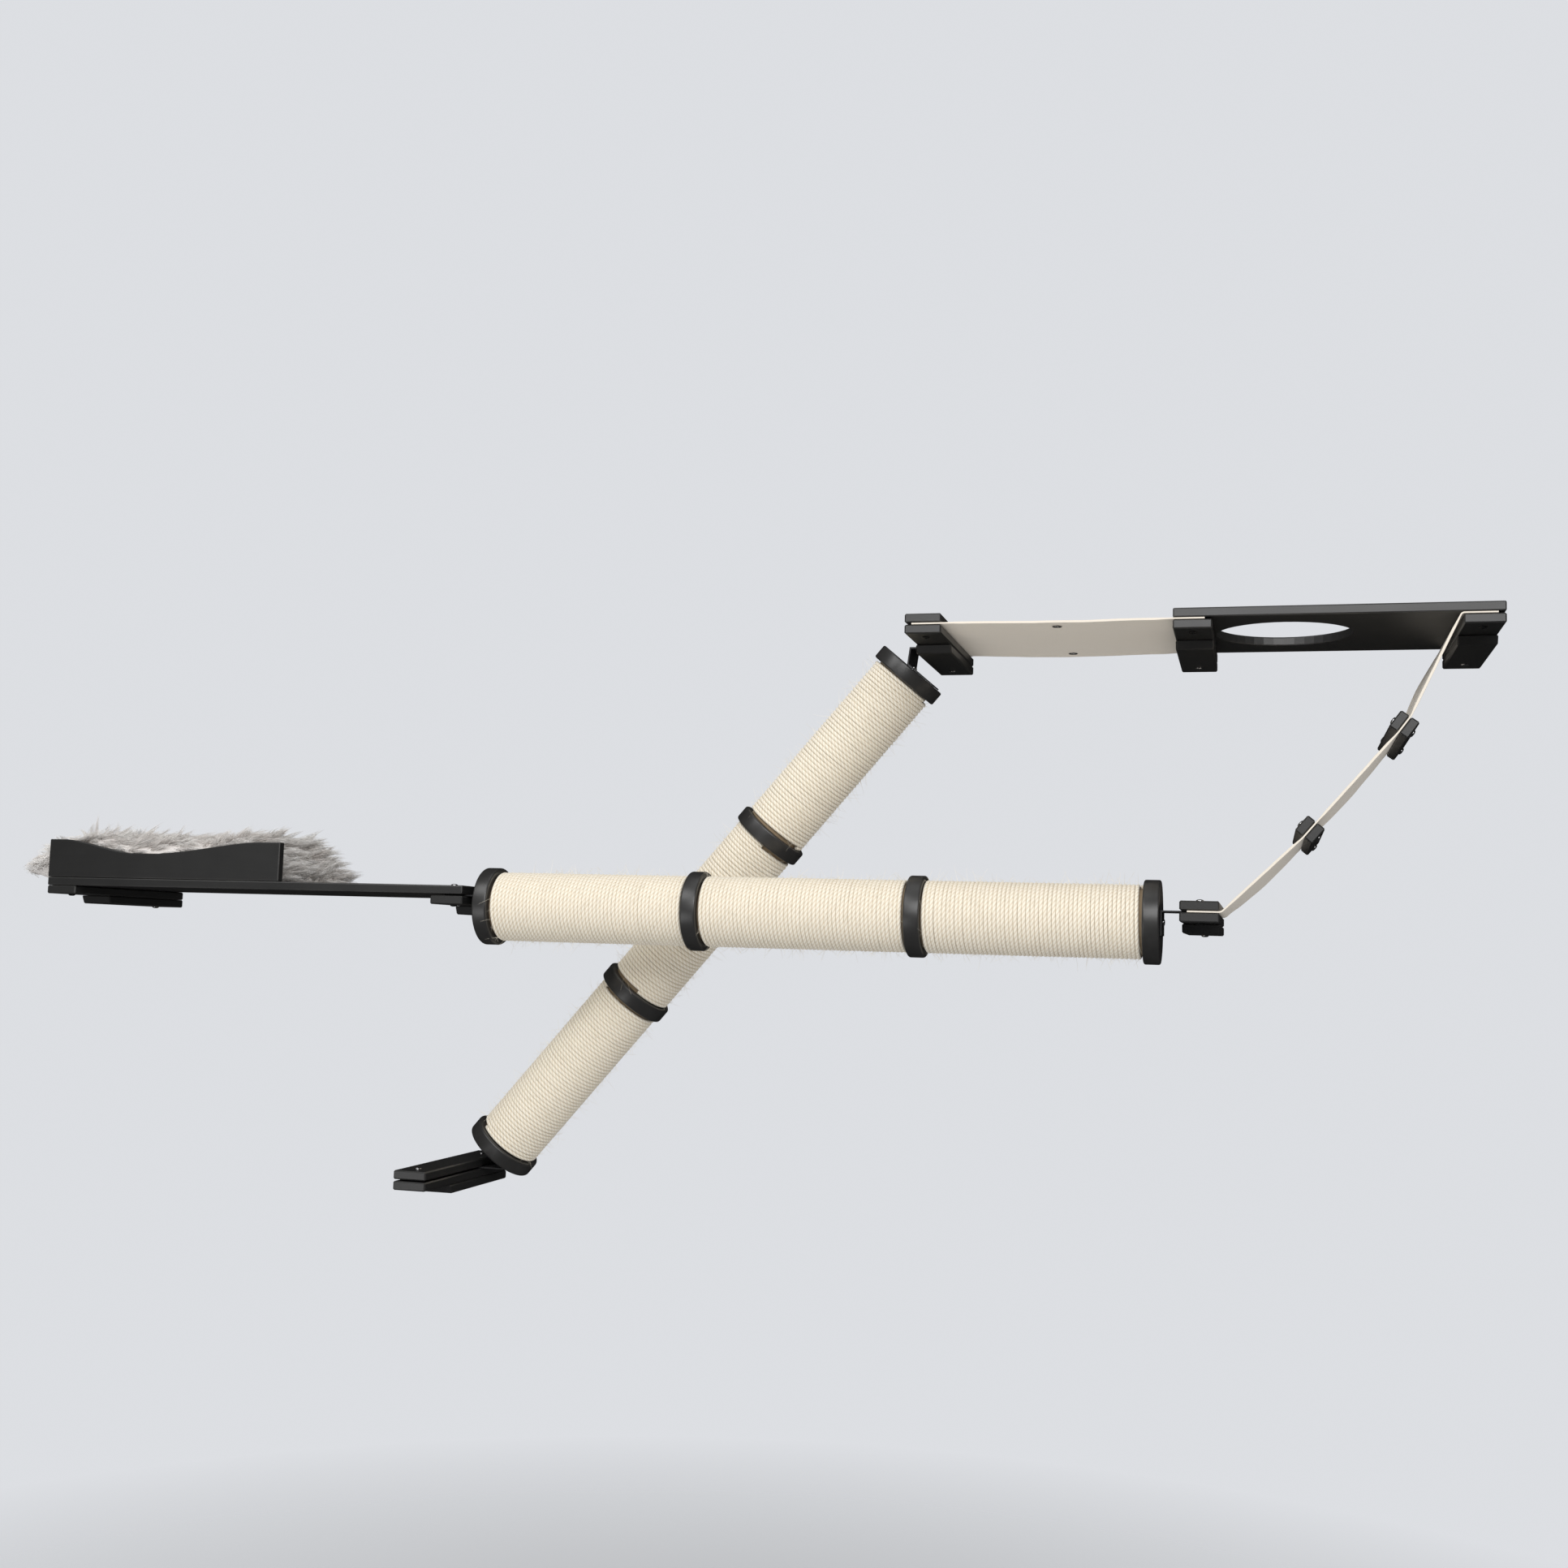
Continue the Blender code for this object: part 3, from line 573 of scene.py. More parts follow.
# ---- canvas: the hammock and the ladder's cloth
canvas = {"thickness": 0.0024, "front": -0.3196, "rear": -0.020, "hem": 0.019, "stitchInset": 0.0085,
          "hemStep": 0.001, "hemRise": 0.00070, "edge": 0.0009, "bevel": 0.0003, "columns": 46, "step": 0.006,
          "stitch": 0.0032, "stitchPitch": 0.0041, "stitchRise": 0.00042, "stitchSink": 0.0004,
          "thread": 0.00036, "pinch": 0.00030, "pinchWidth": 0.0004, "ripple": 0.0008, "yarn": 0.0016}
levels = {"upper": 0.00865, "middle": -0.42635}


def canvasCloth():
    # plain weave of thick cotton yarn with slubs; u along the cloth, v across it, in metres
    finish = Finish("cream_canvas")
    u, v = finish.alongPiece()
    yarn = 2 * math.pi / canvas["yarn"]
    drift = finish.cloudy(finish.joined(u * 40, v * 40), 1.0, 2) * 0.6
    warp = finish.maths("SINE", u * yarn + drift)
    weft = finish.maths("SINE", v * yarn + drift)
    over = warp * weft
    slub = finish.cloudy(finish.joined(u * 30, v * 600), 1.0, 3, 0.6)
    slubAcross = finish.cloudy(finish.joined(u * 600, v * 30, 3.0), 1.0, 3, 0.6)
    soil = finish.cloudy(finish.joined(u * 9, v * 9, 7.0), 1.0, 5, 0.6)
    base = finish.blended(soil, (0.80, 0.73, 0.63), (0.86, 0.805, 0.72))
    shade = finish.clamped(over * 0.10 + slub * 0.5 + slubAcross * 0.4)
    colour = finish.blended(shade, (0.75, 0.68, 0.58), base)
    height = over * 0.5 + slub * 0.35 + slubAcross * 0.35
    relief = finish.bumped(height, 0.06, 0.0002)
    return finish.surface({"Base Color": colour, "Roughness": 0.88, "Normal": relief,
                           "Specular IOR Level": 0.2, "Sheen Weight": 0.12, "Sheen Roughness": 0.45})


def sewingThread():
    finish = Finish("sewing_thread")
    twist = finish.cloudy(finish.place(), 2600, 2)
    colour = finish.blended(twist, (0.72, 0.68, 0.59), (0.86, 0.83, 0.76))
    return finish.surface({"Base Color": colour, "Roughness": 0.6, "Specular IOR Level": 0.35})


canvasFinish = canvasCloth()
threadFinish = sewingThread()


def runPath(path, step):
    # points every step along a path of (x, z) corners, and the length up to each
    rows, travelled = [], 0.0
    for near, far in zip(path, path[1:]):
        near, far = Vector(near), Vector(far)
        length = (far - near).length
        count = max(1, round(length / step))
        for index in range(count):
            rows.append((near.lerp(far, index / count), travelled + length * index / count))
        travelled += length
    rows.append((Vector(path[-1]), travelled))
    return rows


def shapeOf(held, ripple, bow=0.0, span=(0.0, 1.0)):
    # how far the cloth stands off its path: a soft ripple, and a bow that grows to the rear edge
    def lift(run, y):
        wave = noise.noise(Vector((run * 13, y * 9, 1.3)))
        wave += 0.4 * noise.noise(Vector((run * 40, y * 25, 7.1)))
        share = min(max((run - span[0]) / (span[1] - span[0]), 0.0), 1.0)
        back = (y - canvas["front"]) / (canvas["rear"] - canvas["front"])
        return ripple * wave * held(run) + bow * math.sin(math.pi * share) ** 1.5 * back ** 1.2
    return lift


def sewCloth(name, path, held, shaped):
    # held(run) is 0 where the cloth is clamped and 1 where it is free; shaped gives its stand-off
    rows = runPath(path, canvas["step"])
    half = canvas["thickness"] / 2
    front, rear = canvas["front"], canvas["rear"]
    width = rear - front
    hem, edge, bevel = canvas["hem"], canvas["edge"], canvas["bevel"]
    across = [front + width * (index / canvas["columns"]) for index in range(canvas["columns"] + 1)]
    across += [front + canvas["stitchInset"], rear - canvas["stitchInset"], front + hem, rear - hem]
    across += [front + hem - canvas["hemStep"], rear - hem + canvas["hemStep"]]
    across = sorted(set(across + [front + bevel, front + edge, rear - edge, rear - bevel]))
    points, frames = [], []
    ring = 2 * len(across)
    for index, (spot, run) in enumerate(rows):
        before = rows[max(index - 1, 0)][0]
        after = rows[min(index + 1, len(rows) - 1)][0]
        heading = (after - before).normalized()
        up = Vector((-heading.y, heading.x)) if heading.x > 0 else Vector((heading.y, -heading.x))
        frames.append((spot, run, up))
        free = held(run)
        for side, columns in ((1, across), (-1, list(reversed(across)))):
            for y in columns:
                inside = min(y - front, rear - y)
                full = 1.0 if inside >= edge else 0.80 + 0.20 * math.sqrt(max(0.0, inside / edge))
                hemmed = canvas["hemRise"] * free if inside < hem - canvas["hemStep"] / 2 else 0.0
                sewn = abs(inside - canvas["stitchInset"]) < canvas["pinchWidth"]
                pinch = -canvas["pinch"] * free if sewn else 0.0
                lift = shaped(run, y) + side * (half + hemmed + pinch) * full
                points.append((spot.x + up.x * lift, y, spot.y + up.y * lift))
    faces = tubeFaces(0, len(rows), ring)
    uvs = [(rows[corner // ring][1], points[corner][1]) for face in faces for corner in face]
    cloth = bodyMesh(name, points, faces, uvs)
    turnOutward(cloth)
    smoothen(cloth, 50)
    return cloth, frames, rows[-1][1]


def sewStitches(name, frames, held, shaped):
    # short stitches along both hems, above and below
    points, faces = [], []
    total = frames[-1][1]
    place = canvas["stitchPitch"] / 2
    half = canvas["thickness"] / 2

    def at(run):
        for (spot, low, up), (nextSpot, high, nextUp) in zip(frames, frames[1:]):
            if low <= run <= high:
                share = (run - low) / (high - low)
                return spot.lerp(nextSpot, share), up.lerp(nextUp, share).normalized()
        return frames[-1][0], frames[-1][2]

    while place < total:
        free = held(place)
        if free > 0.6:
            for y in (canvas["front"] + canvas["stitchInset"], canvas["rear"] - canvas["stitchInset"]):
                for side in (1, -1):
                    first = len(points)
                    for share, thick in ((-0.5, 0.35), (-0.3, 1.0), (0.3, 1.0), (0.5, 0.35)):
                        run = place + share * canvas["stitch"]
                        spot, up = at(run)
                        sink = -canvas["stitchSink"] if abs(share) > 0.4 else 0.0
                        lift = shaped(run, y) + side * (half + canvas["stitchRise"] * free + sink)
                        radius = canvas["thread"] * thick
                        for corner in range(6):
                            spin = 2 * math.pi * corner / 6
                            rise = lift + radius * math.sin(spin)
                            aside = y + radius * math.cos(spin)
                            points.append((spot.x + up.x * rise, aside, spot.y + up.y * rise))
                    faces += tubeFaces(first, 4, 6, swapped=True)
        place += canvas["stitchPitch"]
    stitches = bodyMesh(name, points, faces)
    turnOutward(stitches)
    stitches.data.shade_smooth()
    dress(stitches, threadFinish)
    return stitches


def easedBetween(value, low, high):
    share = min(max((value - low) / (high - low), 0.0), 1.0)
    return share * share * (3 - 2 * share)


hammock = {"start": -0.4240, "leave": -0.3778, "arrive": -0.0286, "end": 0.0176, "steps": 60,
           "sag": 0.0015, "rearSag": 0.0015, "ease": (0.002, 0.03),
           "eyeletX": -0.2032, "eyeletInset": 0.031, "eyeletHole": 0.0050, "eyeletLevel": 0.0037,
           "boltSpot": (-0.4064, -0.290), "boltHole": 0.0034, "drill": 0.03,
           "notchSpot": (-0.4190, -0.072), "notchSize": (0.0512, 0.072), "cut": 0.02, "cutLevel": 0.0087}


def makeHammock():
    level = levels["upper"]
    path = [(hammock["start"], level)]
    for index in range(hammock["steps"] + 1):
        share = index / hammock["steps"]
        x = hammock["leave"] + (hammock["arrive"] - hammock["leave"]) * share
        path.append((x, level - hammock["sag"] * math.sin(math.pi * share) ** 2))
    path.append((hammock["end"], level))
    leaveRun = hammock["leave"] - hammock["start"]
    arriveRun = leaveRun + hammock["arrive"] - hammock["leave"]

    def held(run):
        close, clear = hammock["ease"]
        return (easedBetween(run, leaveRun + close, leaveRun + clear)
                * (1 - easedBetween(run, arriveRun - clear, arriveRun - close)))

    shaped = shapeOf(held, canvas["ripple"], -hammock["rearSag"], (leaveRun, arriveRun))
    cloth, frames, length = sewCloth("hammock_canvas", path, held, shaped)
    stitches = sewStitches("hammock_stitching", frames, held, shaped)
    dress(cloth, canvasFinish)
    cutHoles(cloth)
    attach(cloth, "wall_frame")
    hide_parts("hammock_cloth")
    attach(stitches, "wall_frame")


def cutHoles(cloth):
    # holes for the two eyelets and the front clamp bolt, and a notch for the post's strap
    drill, level = hammock["drill"], hammock["cutLevel"]
    for y in (canvas["front"] + hammock["eyeletInset"], canvas["rear"] - hammock["eyeletInset"]):
        spot = (hammock["eyeletX"], y, hammock["eyeletLevel"])
        carve(cloth, cylinderAt(spot, hammock["eyeletHole"], drill, 32))
    carve(cloth, cylinderAt((*hammock["boltSpot"], level), hammock["boltHole"], drill, 24))
    carve(cloth, boxAt((*hammock["notchSpot"], level), (*hammock["notchSize"], hammock["cut"])))


def slope(degrees):
    return Vector((math.cos(math.radians(degrees)), math.sin(math.radians(degrees))))


ladder = {"head": (0.3753, 0.00865), "foot": (0.0441, -0.42635), "headTab": 0.4240, "footTab": -0.0046,
          "panel": 65.0, "upperRung": 54.0, "middle": 49.3, "lowerRung": 50.0,
          "upperPanel": 0.164, "middlePanel": 0.1713, "rungWidth": 0.0286, "hinge": 0.0004, "slat": 0.0143,
          "cutBelow": 0.006, "bend": 0.004, "crease": 0.0003, "turnFrom": 0.022, "turnTo": 0.001,
          "notchSpot": (-0.0016, -0.265), "notchSize": (0.055, 0.072)}


def ladderPath():
    head, foot = Vector(ladder["head"]), Vector(ladder["foot"])
    upper = head - ladder["upperPanel"] * slope(ladder["panel"])
    rungTop = upper - 2 * ladder["hinge"] * slope(ladder["upperRung"])
    rungFoot = rungTop - ladder["rungWidth"] * slope(ladder["upperRung"])
    lowerTop = rungFoot - ladder["middlePanel"] * slope(ladder["middle"])
    lowerFoot = lowerTop - ladder["rungWidth"] * slope(ladder["lowerRung"])
    lower = lowerFoot - 2 * ladder["hinge"] * slope(ladder["lowerRung"])
    return {"head": head, "upper": upper, "rungTop": rungTop, "rungFoot": rungFoot, "lowerTop": lowerTop,
            "lowerFoot": lowerFoot, "lower": lower, "foot": foot}


def bendCorner(before, corner, after, reach, steps=5):
    # a small arc in place of a sharp corner
    start = corner + (before - corner).normalized() * reach
    end = corner + (after - corner).normalized() * reach
    points = []
    for index in range(steps + 1):
        share = index / steps
        points.append(start.lerp(corner, share).lerp(corner.lerp(end, share), share))
    return points


def makeLadderCloth():
    spots = ladderPath()
    upperMiddle = (spots["rungTop"] + spots["rungFoot"]) / 2
    lowerMiddle = (spots["lowerTop"] + spots["lowerFoot"]) / 2
    headTab = Vector((ladder["headTab"], levels["upper"]))
    footTab = Vector((ladder["footTab"], levels["middle"]))
    headCut = spots["head"] + (spots["upper"] - spots["head"]).normalized() * ladder["cutBelow"]
    footCut = spots["foot"] + (spots["lower"] - spots["foot"]).normalized() * ladder["cutBelow"]
    bend, crease = ladder["bend"], ladder["crease"]
    paths = {
        "head": [headTab] + bendCorner(headTab, spots["head"], headCut, bend) + [headCut],
        "upper": [headCut] + bendCorner(headCut, spots["upper"], spots["rungTop"], crease, 2) + [upperMiddle],
        "middle": [upperMiddle] + bendCorner(upperMiddle, spots["rungFoot"], spots["lowerTop"], bend)
                  + bendCorner(spots["rungFoot"], spots["lowerTop"], lowerMiddle, bend) + [lowerMiddle],
        "lower": [lowerMiddle] + bendCorner(lowerMiddle, spots["lower"], footCut, crease, 2) + [footCut],
        "foot": [footCut] + bendCorner(footCut, spots["foot"], footTab, bend) + [footTab],
    }

    # where each panel leaves its clamp, and where it is clamped again
    clamps = {"upper": (0.0, 0.02, 0.138, 0.156), "middle": (0.018, 0.04, 0.163, 0.182),
              "lower": (0.018, 0.04, 0.146, 0.164)}

    def freedom(name):
        if name not in clamps:
            return lambda run: 0.0
        leave, clear, near, clamped = clamps[name]
        return lambda run: easedBetween(run, leave, clear) * (1 - easedBetween(run, near, clamped))

    bows = {"head": (0.0, (0, 1)), "upper": (0.0045, (0.0, 0.157)), "middle": (-0.0030, (0.016, 0.184)),
            "lower": (-0.0035, (0.017, 0.166)), "foot": (0.0, (0, 1))}
    for name, path in paths.items():
        held = freedom(name)
        shaped = shapeOf(held, canvas["ripple"], *bows[name])
        corners = [tuple(point) for point in path]
        cloth, frames, length = sewCloth("ladder_canvas_" + name, corners, held, shaped)
        dress(cloth, canvasFinish)
        parts = [cloth]
        if name in clamps:
            parts.append(sewStitches("ladder_stitching_" + name, frames, held, shaped))
        if name == "foot":
            spot, size = (*ladder["notchSpot"], levels["middle"]), (*ladder["notchSize"], hammock["cut"])
            carve(cloth, boxAt(spot, size))
        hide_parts("ladder_cloth_" + name)
        for piece in parts:
            joinBodies(piece, name, spots)


def joinBodies(piece, name, spots):
    # the cloth turns at the slats' edges; the middle panel goes with the rung panel, the head and foot with the
    # wall frame, and the upper and lower panels only have their place baked into the mesh
    if name == "upper":
        away = (spots["head"] - spots["upper"]).normalized()
        start, end = spots["upper"] + away * ladder["turnFrom"], spots["upper"] + away * ladder["turnTo"]
        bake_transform(piece)
    elif name == "lower":
        away = (spots["foot"] - spots["lower"]).normalized()
        start, end = spots["lower"] + away * ladder["turnTo"], spots["lower"] + away * ladder["turnFrom"]
        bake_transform(piece)
    elif name == "middle":
        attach(piece, "rung_panel")
    else:
        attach(piece, "wall_frame")


makeHammock()
makeLadderCloth()
print("canvas done")


# ---- chrome: eyelets, bolts and screws
def polishedChrome():
    finish = Finish("polished_chrome")
    spot = finish.place()
    haze = finish.cloudy(spot, 260, 4)
    scratch = finish.cloudy(finish.place((40, 900, 300)), 3, 3, 0.6)
    colour = finish.blended(haze, (0.62, 0.62, 0.63), (0.80, 0.80, 0.81))
    relief = finish.bumped(scratch, 0.05, 0.0002)
    return finish.surface({"Base Color": colour, "Metallic": 1.0, "Roughness": 0.12 + haze * 0.14,
                           "Normal": relief})


def blackNut():
    finish = Finish("black_nut")
    cloud = finish.cloudy(finish.place(), 300, 3)
    colour = finish.blended(cloud, (0.014, 0.014, 0.014), (0.03, 0.03, 0.03))
    return finish.surface({"Base Color": colour, "Metallic": 0.6, "Roughness": 0.42 + cloud * 0.1})


chromeFinish = polishedChrome()
nutFinish = blackNut()
bolt = {"radius": 0.0058, "height": 0.0028, "rim": 0.0006, "domeSteps": 5, "domeTurn": 15,
        "shank": 0.003, "shankLength": 0.010, "socket": 0.0024, "deep": 0.0018, "gap": 0.0003,
        "strap": 0.0024, "frontY": -0.290, "rearY": -0.045, "rungFrontY": -0.286, "rungRearY": -0.068}


def makeBoltModel():
    # domed head above, shank, and the same dome below; lengthened when it is copied
    rim = bolt["rim"]
    head = cylinderAt((0, 0, rim / 2), bolt["radius"], rim, 32)
    bpy.ops.object.mode_set(mode="EDIT")
    editSelect(head, "FACE", lambda face: face.normal.z > 0.9)
    before = 1.0
    for step in range(1, bolt["domeSteps"] + 1):
        angle, passed = (math.radians(bolt["domeTurn"] * number) for number in (step, step - 1))
        wide = math.cos(angle) * 0.999
        rise = (bolt["height"] - rim) * (math.sin(angle) - math.sin(passed))
        bpy.ops.mesh.extrude_region_move(TRANSFORM_OT_translate={"value": (0, 0, rise)})
        bpy.ops.transform.resize(value=(wide / before, wide / before, 1))
        before = wide
    editSelect(head, "FACE", lambda face: face.normal.z < -0.9)
    bpy.ops.mesh.inset(thickness=bolt["radius"] - bolt["shank"], depth=0)
    bpy.ops.mesh.extrude_region_move(TRANSFORM_OT_translate={"value": (0, 0, -bolt["shankLength"])})
    settle(head)
    carve(head, cylinderAt((0, 0, bolt["height"]), bolt["socket"], 2 * bolt["deep"], 6))
    smoothen(head, 35)
    return head


def boltHalf(model, name, reach, placing):
    # a head whose shank ends at the middle of the bolt
    half = copyPiece(model, name, Matrix.Identity(4))
    for vertex in half.data.vertices:
        if vertex.co.z < -bolt["shankLength"] / 2:
            vertex.co.z = -reach
    half.data.transform(placing)
    return half


def placeBolt(model, name, x, y, top, bottom, body, replaced=None, turn=0.0, centre=None,
              blackBelow=False):
    # top and bottom are the faces that it clamps; the dome under an arm is black like the arm
    gap = bolt["gap"]
    reach = (top - bottom) / 2 + gap
    upper = boltHalf(model, name, reach, Matrix.Translation((0, 0, top + gap)))
    turned = Matrix.Translation((0, 0, bottom - gap)) @ Matrix.Rotation(math.pi, 4, "X")
    lower = boltHalf(model, name + "_low", reach, turned)
    selectOnly(upper, lower)
    bpy.ops.object.join()
    shape = bmesh.new()
    shape.from_mesh(upper.data)
    middle = (top + bottom) / 2
    joint = [face for face in shape.faces if all(abs(v.co.z - middle) < 0.00001 for v in face.verts)]
    bmesh.ops.delete(shape, geom=joint, context="FACES_ONLY")
    bmesh.ops.remove_doubles(shape, verts=shape.verts, dist=0.00001)
    shape.to_mesh(upper.data)
    shape.free()
    if centre is None:
        upper.data.transform(Matrix.Translation((x, y, 0)))
    else:
        upper.data.transform(Matrix.Translation((centre.x, y, centre.y)) @ Matrix.Rotation(-turn, 4, "Y"))
    dress(upper, chromeFinish, nutFinish)
    for face in upper.data.polygons:
        face.material_index = 1 if blackBelow and face.center.z < middle else 0
    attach(upper, body)
    if replaced:
        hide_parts(replaced)


def makeBolts():
    model = makeBoltModel()
    carried = {"bed_outer": "bed_plank", "bed_inner": "bed_plank", "hammock": "strip_hammock",
               "middle": "hatch_shelf", "hatch": "hatch_shelf", "ladder_foot": "strip_ladder_foot",
               "post_foot": "strip_post_foot"}
    for name, above in carried.items():
        low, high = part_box("arm_" + name)
        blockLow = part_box("block_" + name)[0]
        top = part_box(above)[1][2]
        x = (low[0] + high[0]) / 2
        replaced = "strip_bolt_" + name if above.startswith("strip") else None
        placeBolt(model, "bolt_%s_front" % name, x, bolt["frontY"], top, low[2], "wall_frame", replaced,
                  blackBelow=True)
        placeBolt(model, "bolt_%s_rear" % name, x, bolt["rearY"], top, blockLow[2], "wall_frame")
    spots = ladderPath()
    rungs = {"upper": ((spots["rungTop"] + spots["rungFoot"]) / 2, ladder["upperRung"]),
             "lower": ((spots["lowerTop"] + spots["lowerFoot"]) / 2, ladder["lowerRung"])}
    for name, (centre, angle) in rungs.items():
        lift = canvas["thickness"] / 2 + bolt["gap"] + ladder["slat"]
        for end, y in (("front", bolt["rungFrontY"]), ("rear", bolt["rungRearY"])):
            placeBolt(model, "bolt_rung_%s_%s" % (name, end), 0, y, lift, -lift, "rung_panel",
                      "rung_%s_bolt_%s" % (name, end), math.radians(angle), centre)
    placeCapScrews(model)
    bpy.data.objects.remove(model, do_unlink=True)


def placeCapScrews(model):
    # one screw holds each strap's leaf to the middle of its post cap
    leaf = bolt["gap"] + bolt["strap"] + bolt["gap"]
    flip = Matrix.Rotation(math.pi, 4, "X")
    for name, post in posts.items():
        placing, length = postPlacing(post)
        for end, height, turn in (("low", -leaf, flip), ("high", length + leaf, Matrix.Identity(4))):
            spot = placing @ Matrix.Translation((0, 0, height)) @ turn
            screw = copyPiece(model, "screw_%s_%s" % (name, end), spot)
            dress(screw, chromeFinish)
            smoothen(screw, 35)
            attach(screw, "wall_frame")


makeBolts()
print("bolts done")


# ---- eyelets: rolled metal spools, chromed, through the hammock
eyelet = {"bore": 0.0035, "flange": 0.0075, "lip": 0.0012, "straight": 0.4, "round": 0.6, "outside": 0.0047,
          "gap": 0.0003, "steps": 48, "frontSink": 0.0002, "rearSink": 0.88}


def makeEyelets():
    # half of the profile, from the bore over the rolled lip to the flange's underside
    bore, flange, lip = eyelet["bore"], eyelet["flange"], eyelet["lip"]
    half = canvas["thickness"] / 2 + eyelet["gap"]
    straight, outside = half + eyelet["straight"] * lip, eyelet["outside"]
    profile = [(bore, 0), (bore, straight)]
    for step in range(1, 8):
        angle = math.pi - step * math.pi / 8
        profile.append(((bore + flange) / 2 + (flange - bore) / 2 * math.cos(angle),
                        straight + eyelet["round"] * lip * math.sin(angle)))
    profile += [(flange, straight), (flange, half), (outside, half), (outside, 0)]
    startPrimitive()
    bpy.ops.mesh.primitive_circle_add(vertices=len(profile), radius=0.003, fill_type="NGON")
    model = bpy.context.object
    for vertex, (radius, height) in zip(model.data.vertices, profile):
        vertex.co = (radius, 0, height)
    bpy.ops.object.mode_set(mode="EDIT")
    bpy.ops.mesh.select_all(action="SELECT")
    spinRound(eyelet["steps"])
    bpy.ops.object.mode_set(mode="OBJECT")
    shape = bmesh.new()
    shape.from_mesh(model.data)
    bmesh.ops.remove_doubles(shape, verts=shape.verts, dist=0.00001)
    spare = [face for face in shape.faces if len(face.verts) > 4]
    bmesh.ops.delete(shape, geom=spare, context="FACES_ONLY")
    level = [face for face in shape.faces if all(abs(v.co.z) < 0.00001 for v in face.verts)]
    bmesh.ops.delete(shape, geom=level, context="FACES")
    both = bmesh.ops.duplicate(shape, geom=shape.verts[:] + shape.edges[:] + shape.faces[:])
    mirrored = [part for part in both["geom"] if isinstance(part, bmesh.types.BMVert)]
    for vertex in mirrored:
        vertex.co.z = -vertex.co.z
    bmesh.ops.remove_doubles(shape, verts=shape.verts, dist=0.00001)
    bmesh.ops.recalc_face_normals(shape, faces=shape.faces)
    shape.to_mesh(model.data)
    shape.free()
    sinks = {"front": (canvas["front"] + hammock["eyeletInset"], eyelet["frontSink"]),
             "rear": (canvas["rear"] - hammock["eyeletInset"], hammock["rearSag"] * eyelet["rearSink"])}
    for where, (y, sink) in sinks.items():
        place = (hammock["eyeletX"], y, levels["upper"] - (hammock["sag"] + sink))
        piece = copyPiece(model, "eyelet_" + where, Matrix.Translation(place))
        dress(piece, chromeFinish)
        smoothen(piece, 40)
        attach(piece, "wall_frame")
        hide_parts("hammock_eyelet_" + where)
    bpy.data.objects.remove(model, do_unlink=True)


makeEyelets()
print("eyelets done")


# ---- fur mat: a soft backing with long hair combed along the bed
mat = {"left": -2.0017, "hang": -1.9567, "right": -1.5304, "front": -0.3051, "rear": -0.015,
       "base": -0.41025, "crown": 0.072, "hangBottom": -0.43455, "past": 0.004, "inset": 0.006,
       "endGap": 0.012, "endHeight": 0.010, "taperFrom": 0.065, "taperTo": 0.010, "wave": 0.004, "rough": 0.004,
       "hangStep": 0.006, "bedSteps": 70, "around": 40, "pieces": 4, "locks": 480, "strands": 17, "bends": 4,
       "spread": 0.0034, "stray": 0.0011, "length": 0.052, "thick": 0.00042, "sink": 0.001,
       "clear": 0.0012, "over": 0.001, "stay": 0.0009, "side": 0.0005, "reach": 0.010, "wall": -0.003}
board = {"left": -1.9564, "length": 0.455, "front": -0.320, "thickness": 0.0143, "height": 0.066,
         "dip": 0.0225, "leftFlat": 0.034, "leftRamp": 0.130, "rightRamp": 0.195, "rightFlat": 0.041}


def boardTop(x):
    # height of the front board's top edge
    fromLeft = (x - board["left"] - board["leftFlat"]) / board["leftRamp"]
    fromRight = (board["left"] + board["length"] - board["rightFlat"] - x) / board["rightRamp"]
    share = min(max(min(fromLeft, fromRight), 0), 1)
    gone = (share + (1 - math.cos(math.pi * share)) / 2) / 2
    return mat["base"] + board["height"] - board["dip"] * gone


def longFur():
    # u is a strand's own tint, v runs from root to tip
    finish = Finish("long_fur")
    tint, along = finish.alongPiece()
    # painted shade: the roots, deep in the fur, are darker than the tips
    length = finish.ramp(along, [(0.0, (0.90, 0.87, 0.845)), (0.3, (0.955, 0.94, 0.92)),
                                 (0.7, (0.985, 0.975, 0.96)), (1.0, (0.99, 0.985, 0.975))])
    cool = finish.blended(tint, (0.78, 0.73, 0.70), (1.0, 0.99, 0.975))
    colour = finish.node("ShaderNodeMix", {"data_type": "RGBA", "blend_type": "MULTIPLY"},
                         {0: 0.75, 6: length, 7: cool}, 2)
    return finish.surface({"Base Color": colour, "Roughness": 0.55, "Specular IOR Level": 0.35,
                           "Sheen Weight": 0.5, "Sheen Roughness": 0.4})


def backing():
    finish = Finish("fur_backing")
    spot = finish.place((30, 90, 90))
    tuft = finish.cloudy(spot, 3, 5, 0.7)
    colour = finish.blended(tuft, (0.80, 0.75, 0.72), (0.92, 0.89, 0.86))
    relief = finish.bumped(tuft, 0.8, 0.004)
    return finish.surface({"Base Color": colour, "Roughness": 0.95, "Normal": relief,
                           "Specular IOR Level": 0.1})


furFinish = longFur()
backingFinish = backing()


def padOutline(x):
    # bottom and top of the soft backing at a place along the bed
    if x < mat["hang"]:
        share = (x - mat["left"] + mat["past"]) / (mat["hang"] - mat["left"] + mat["past"])
        share = min(max(share, 0), 1)
        bulge = math.sqrt(1 - (1 - share) ** 2)
        low = mat["hangBottom"] + 0.012 + (1 - bulge) * 0.020
        top = mat["base"] + 0.006 + bulge * 0.054
        return low, top
    taper = easedBetween(x, mat["right"] - mat["taperFrom"], mat["right"] - mat["taperTo"])
    wave = mat["wave"] * math.sin((x - mat["hang"]) * 23)
    return mat["base"], mat["base"] + (mat["crown"] + wave) * (1 - taper) + mat["endHeight"] * taper


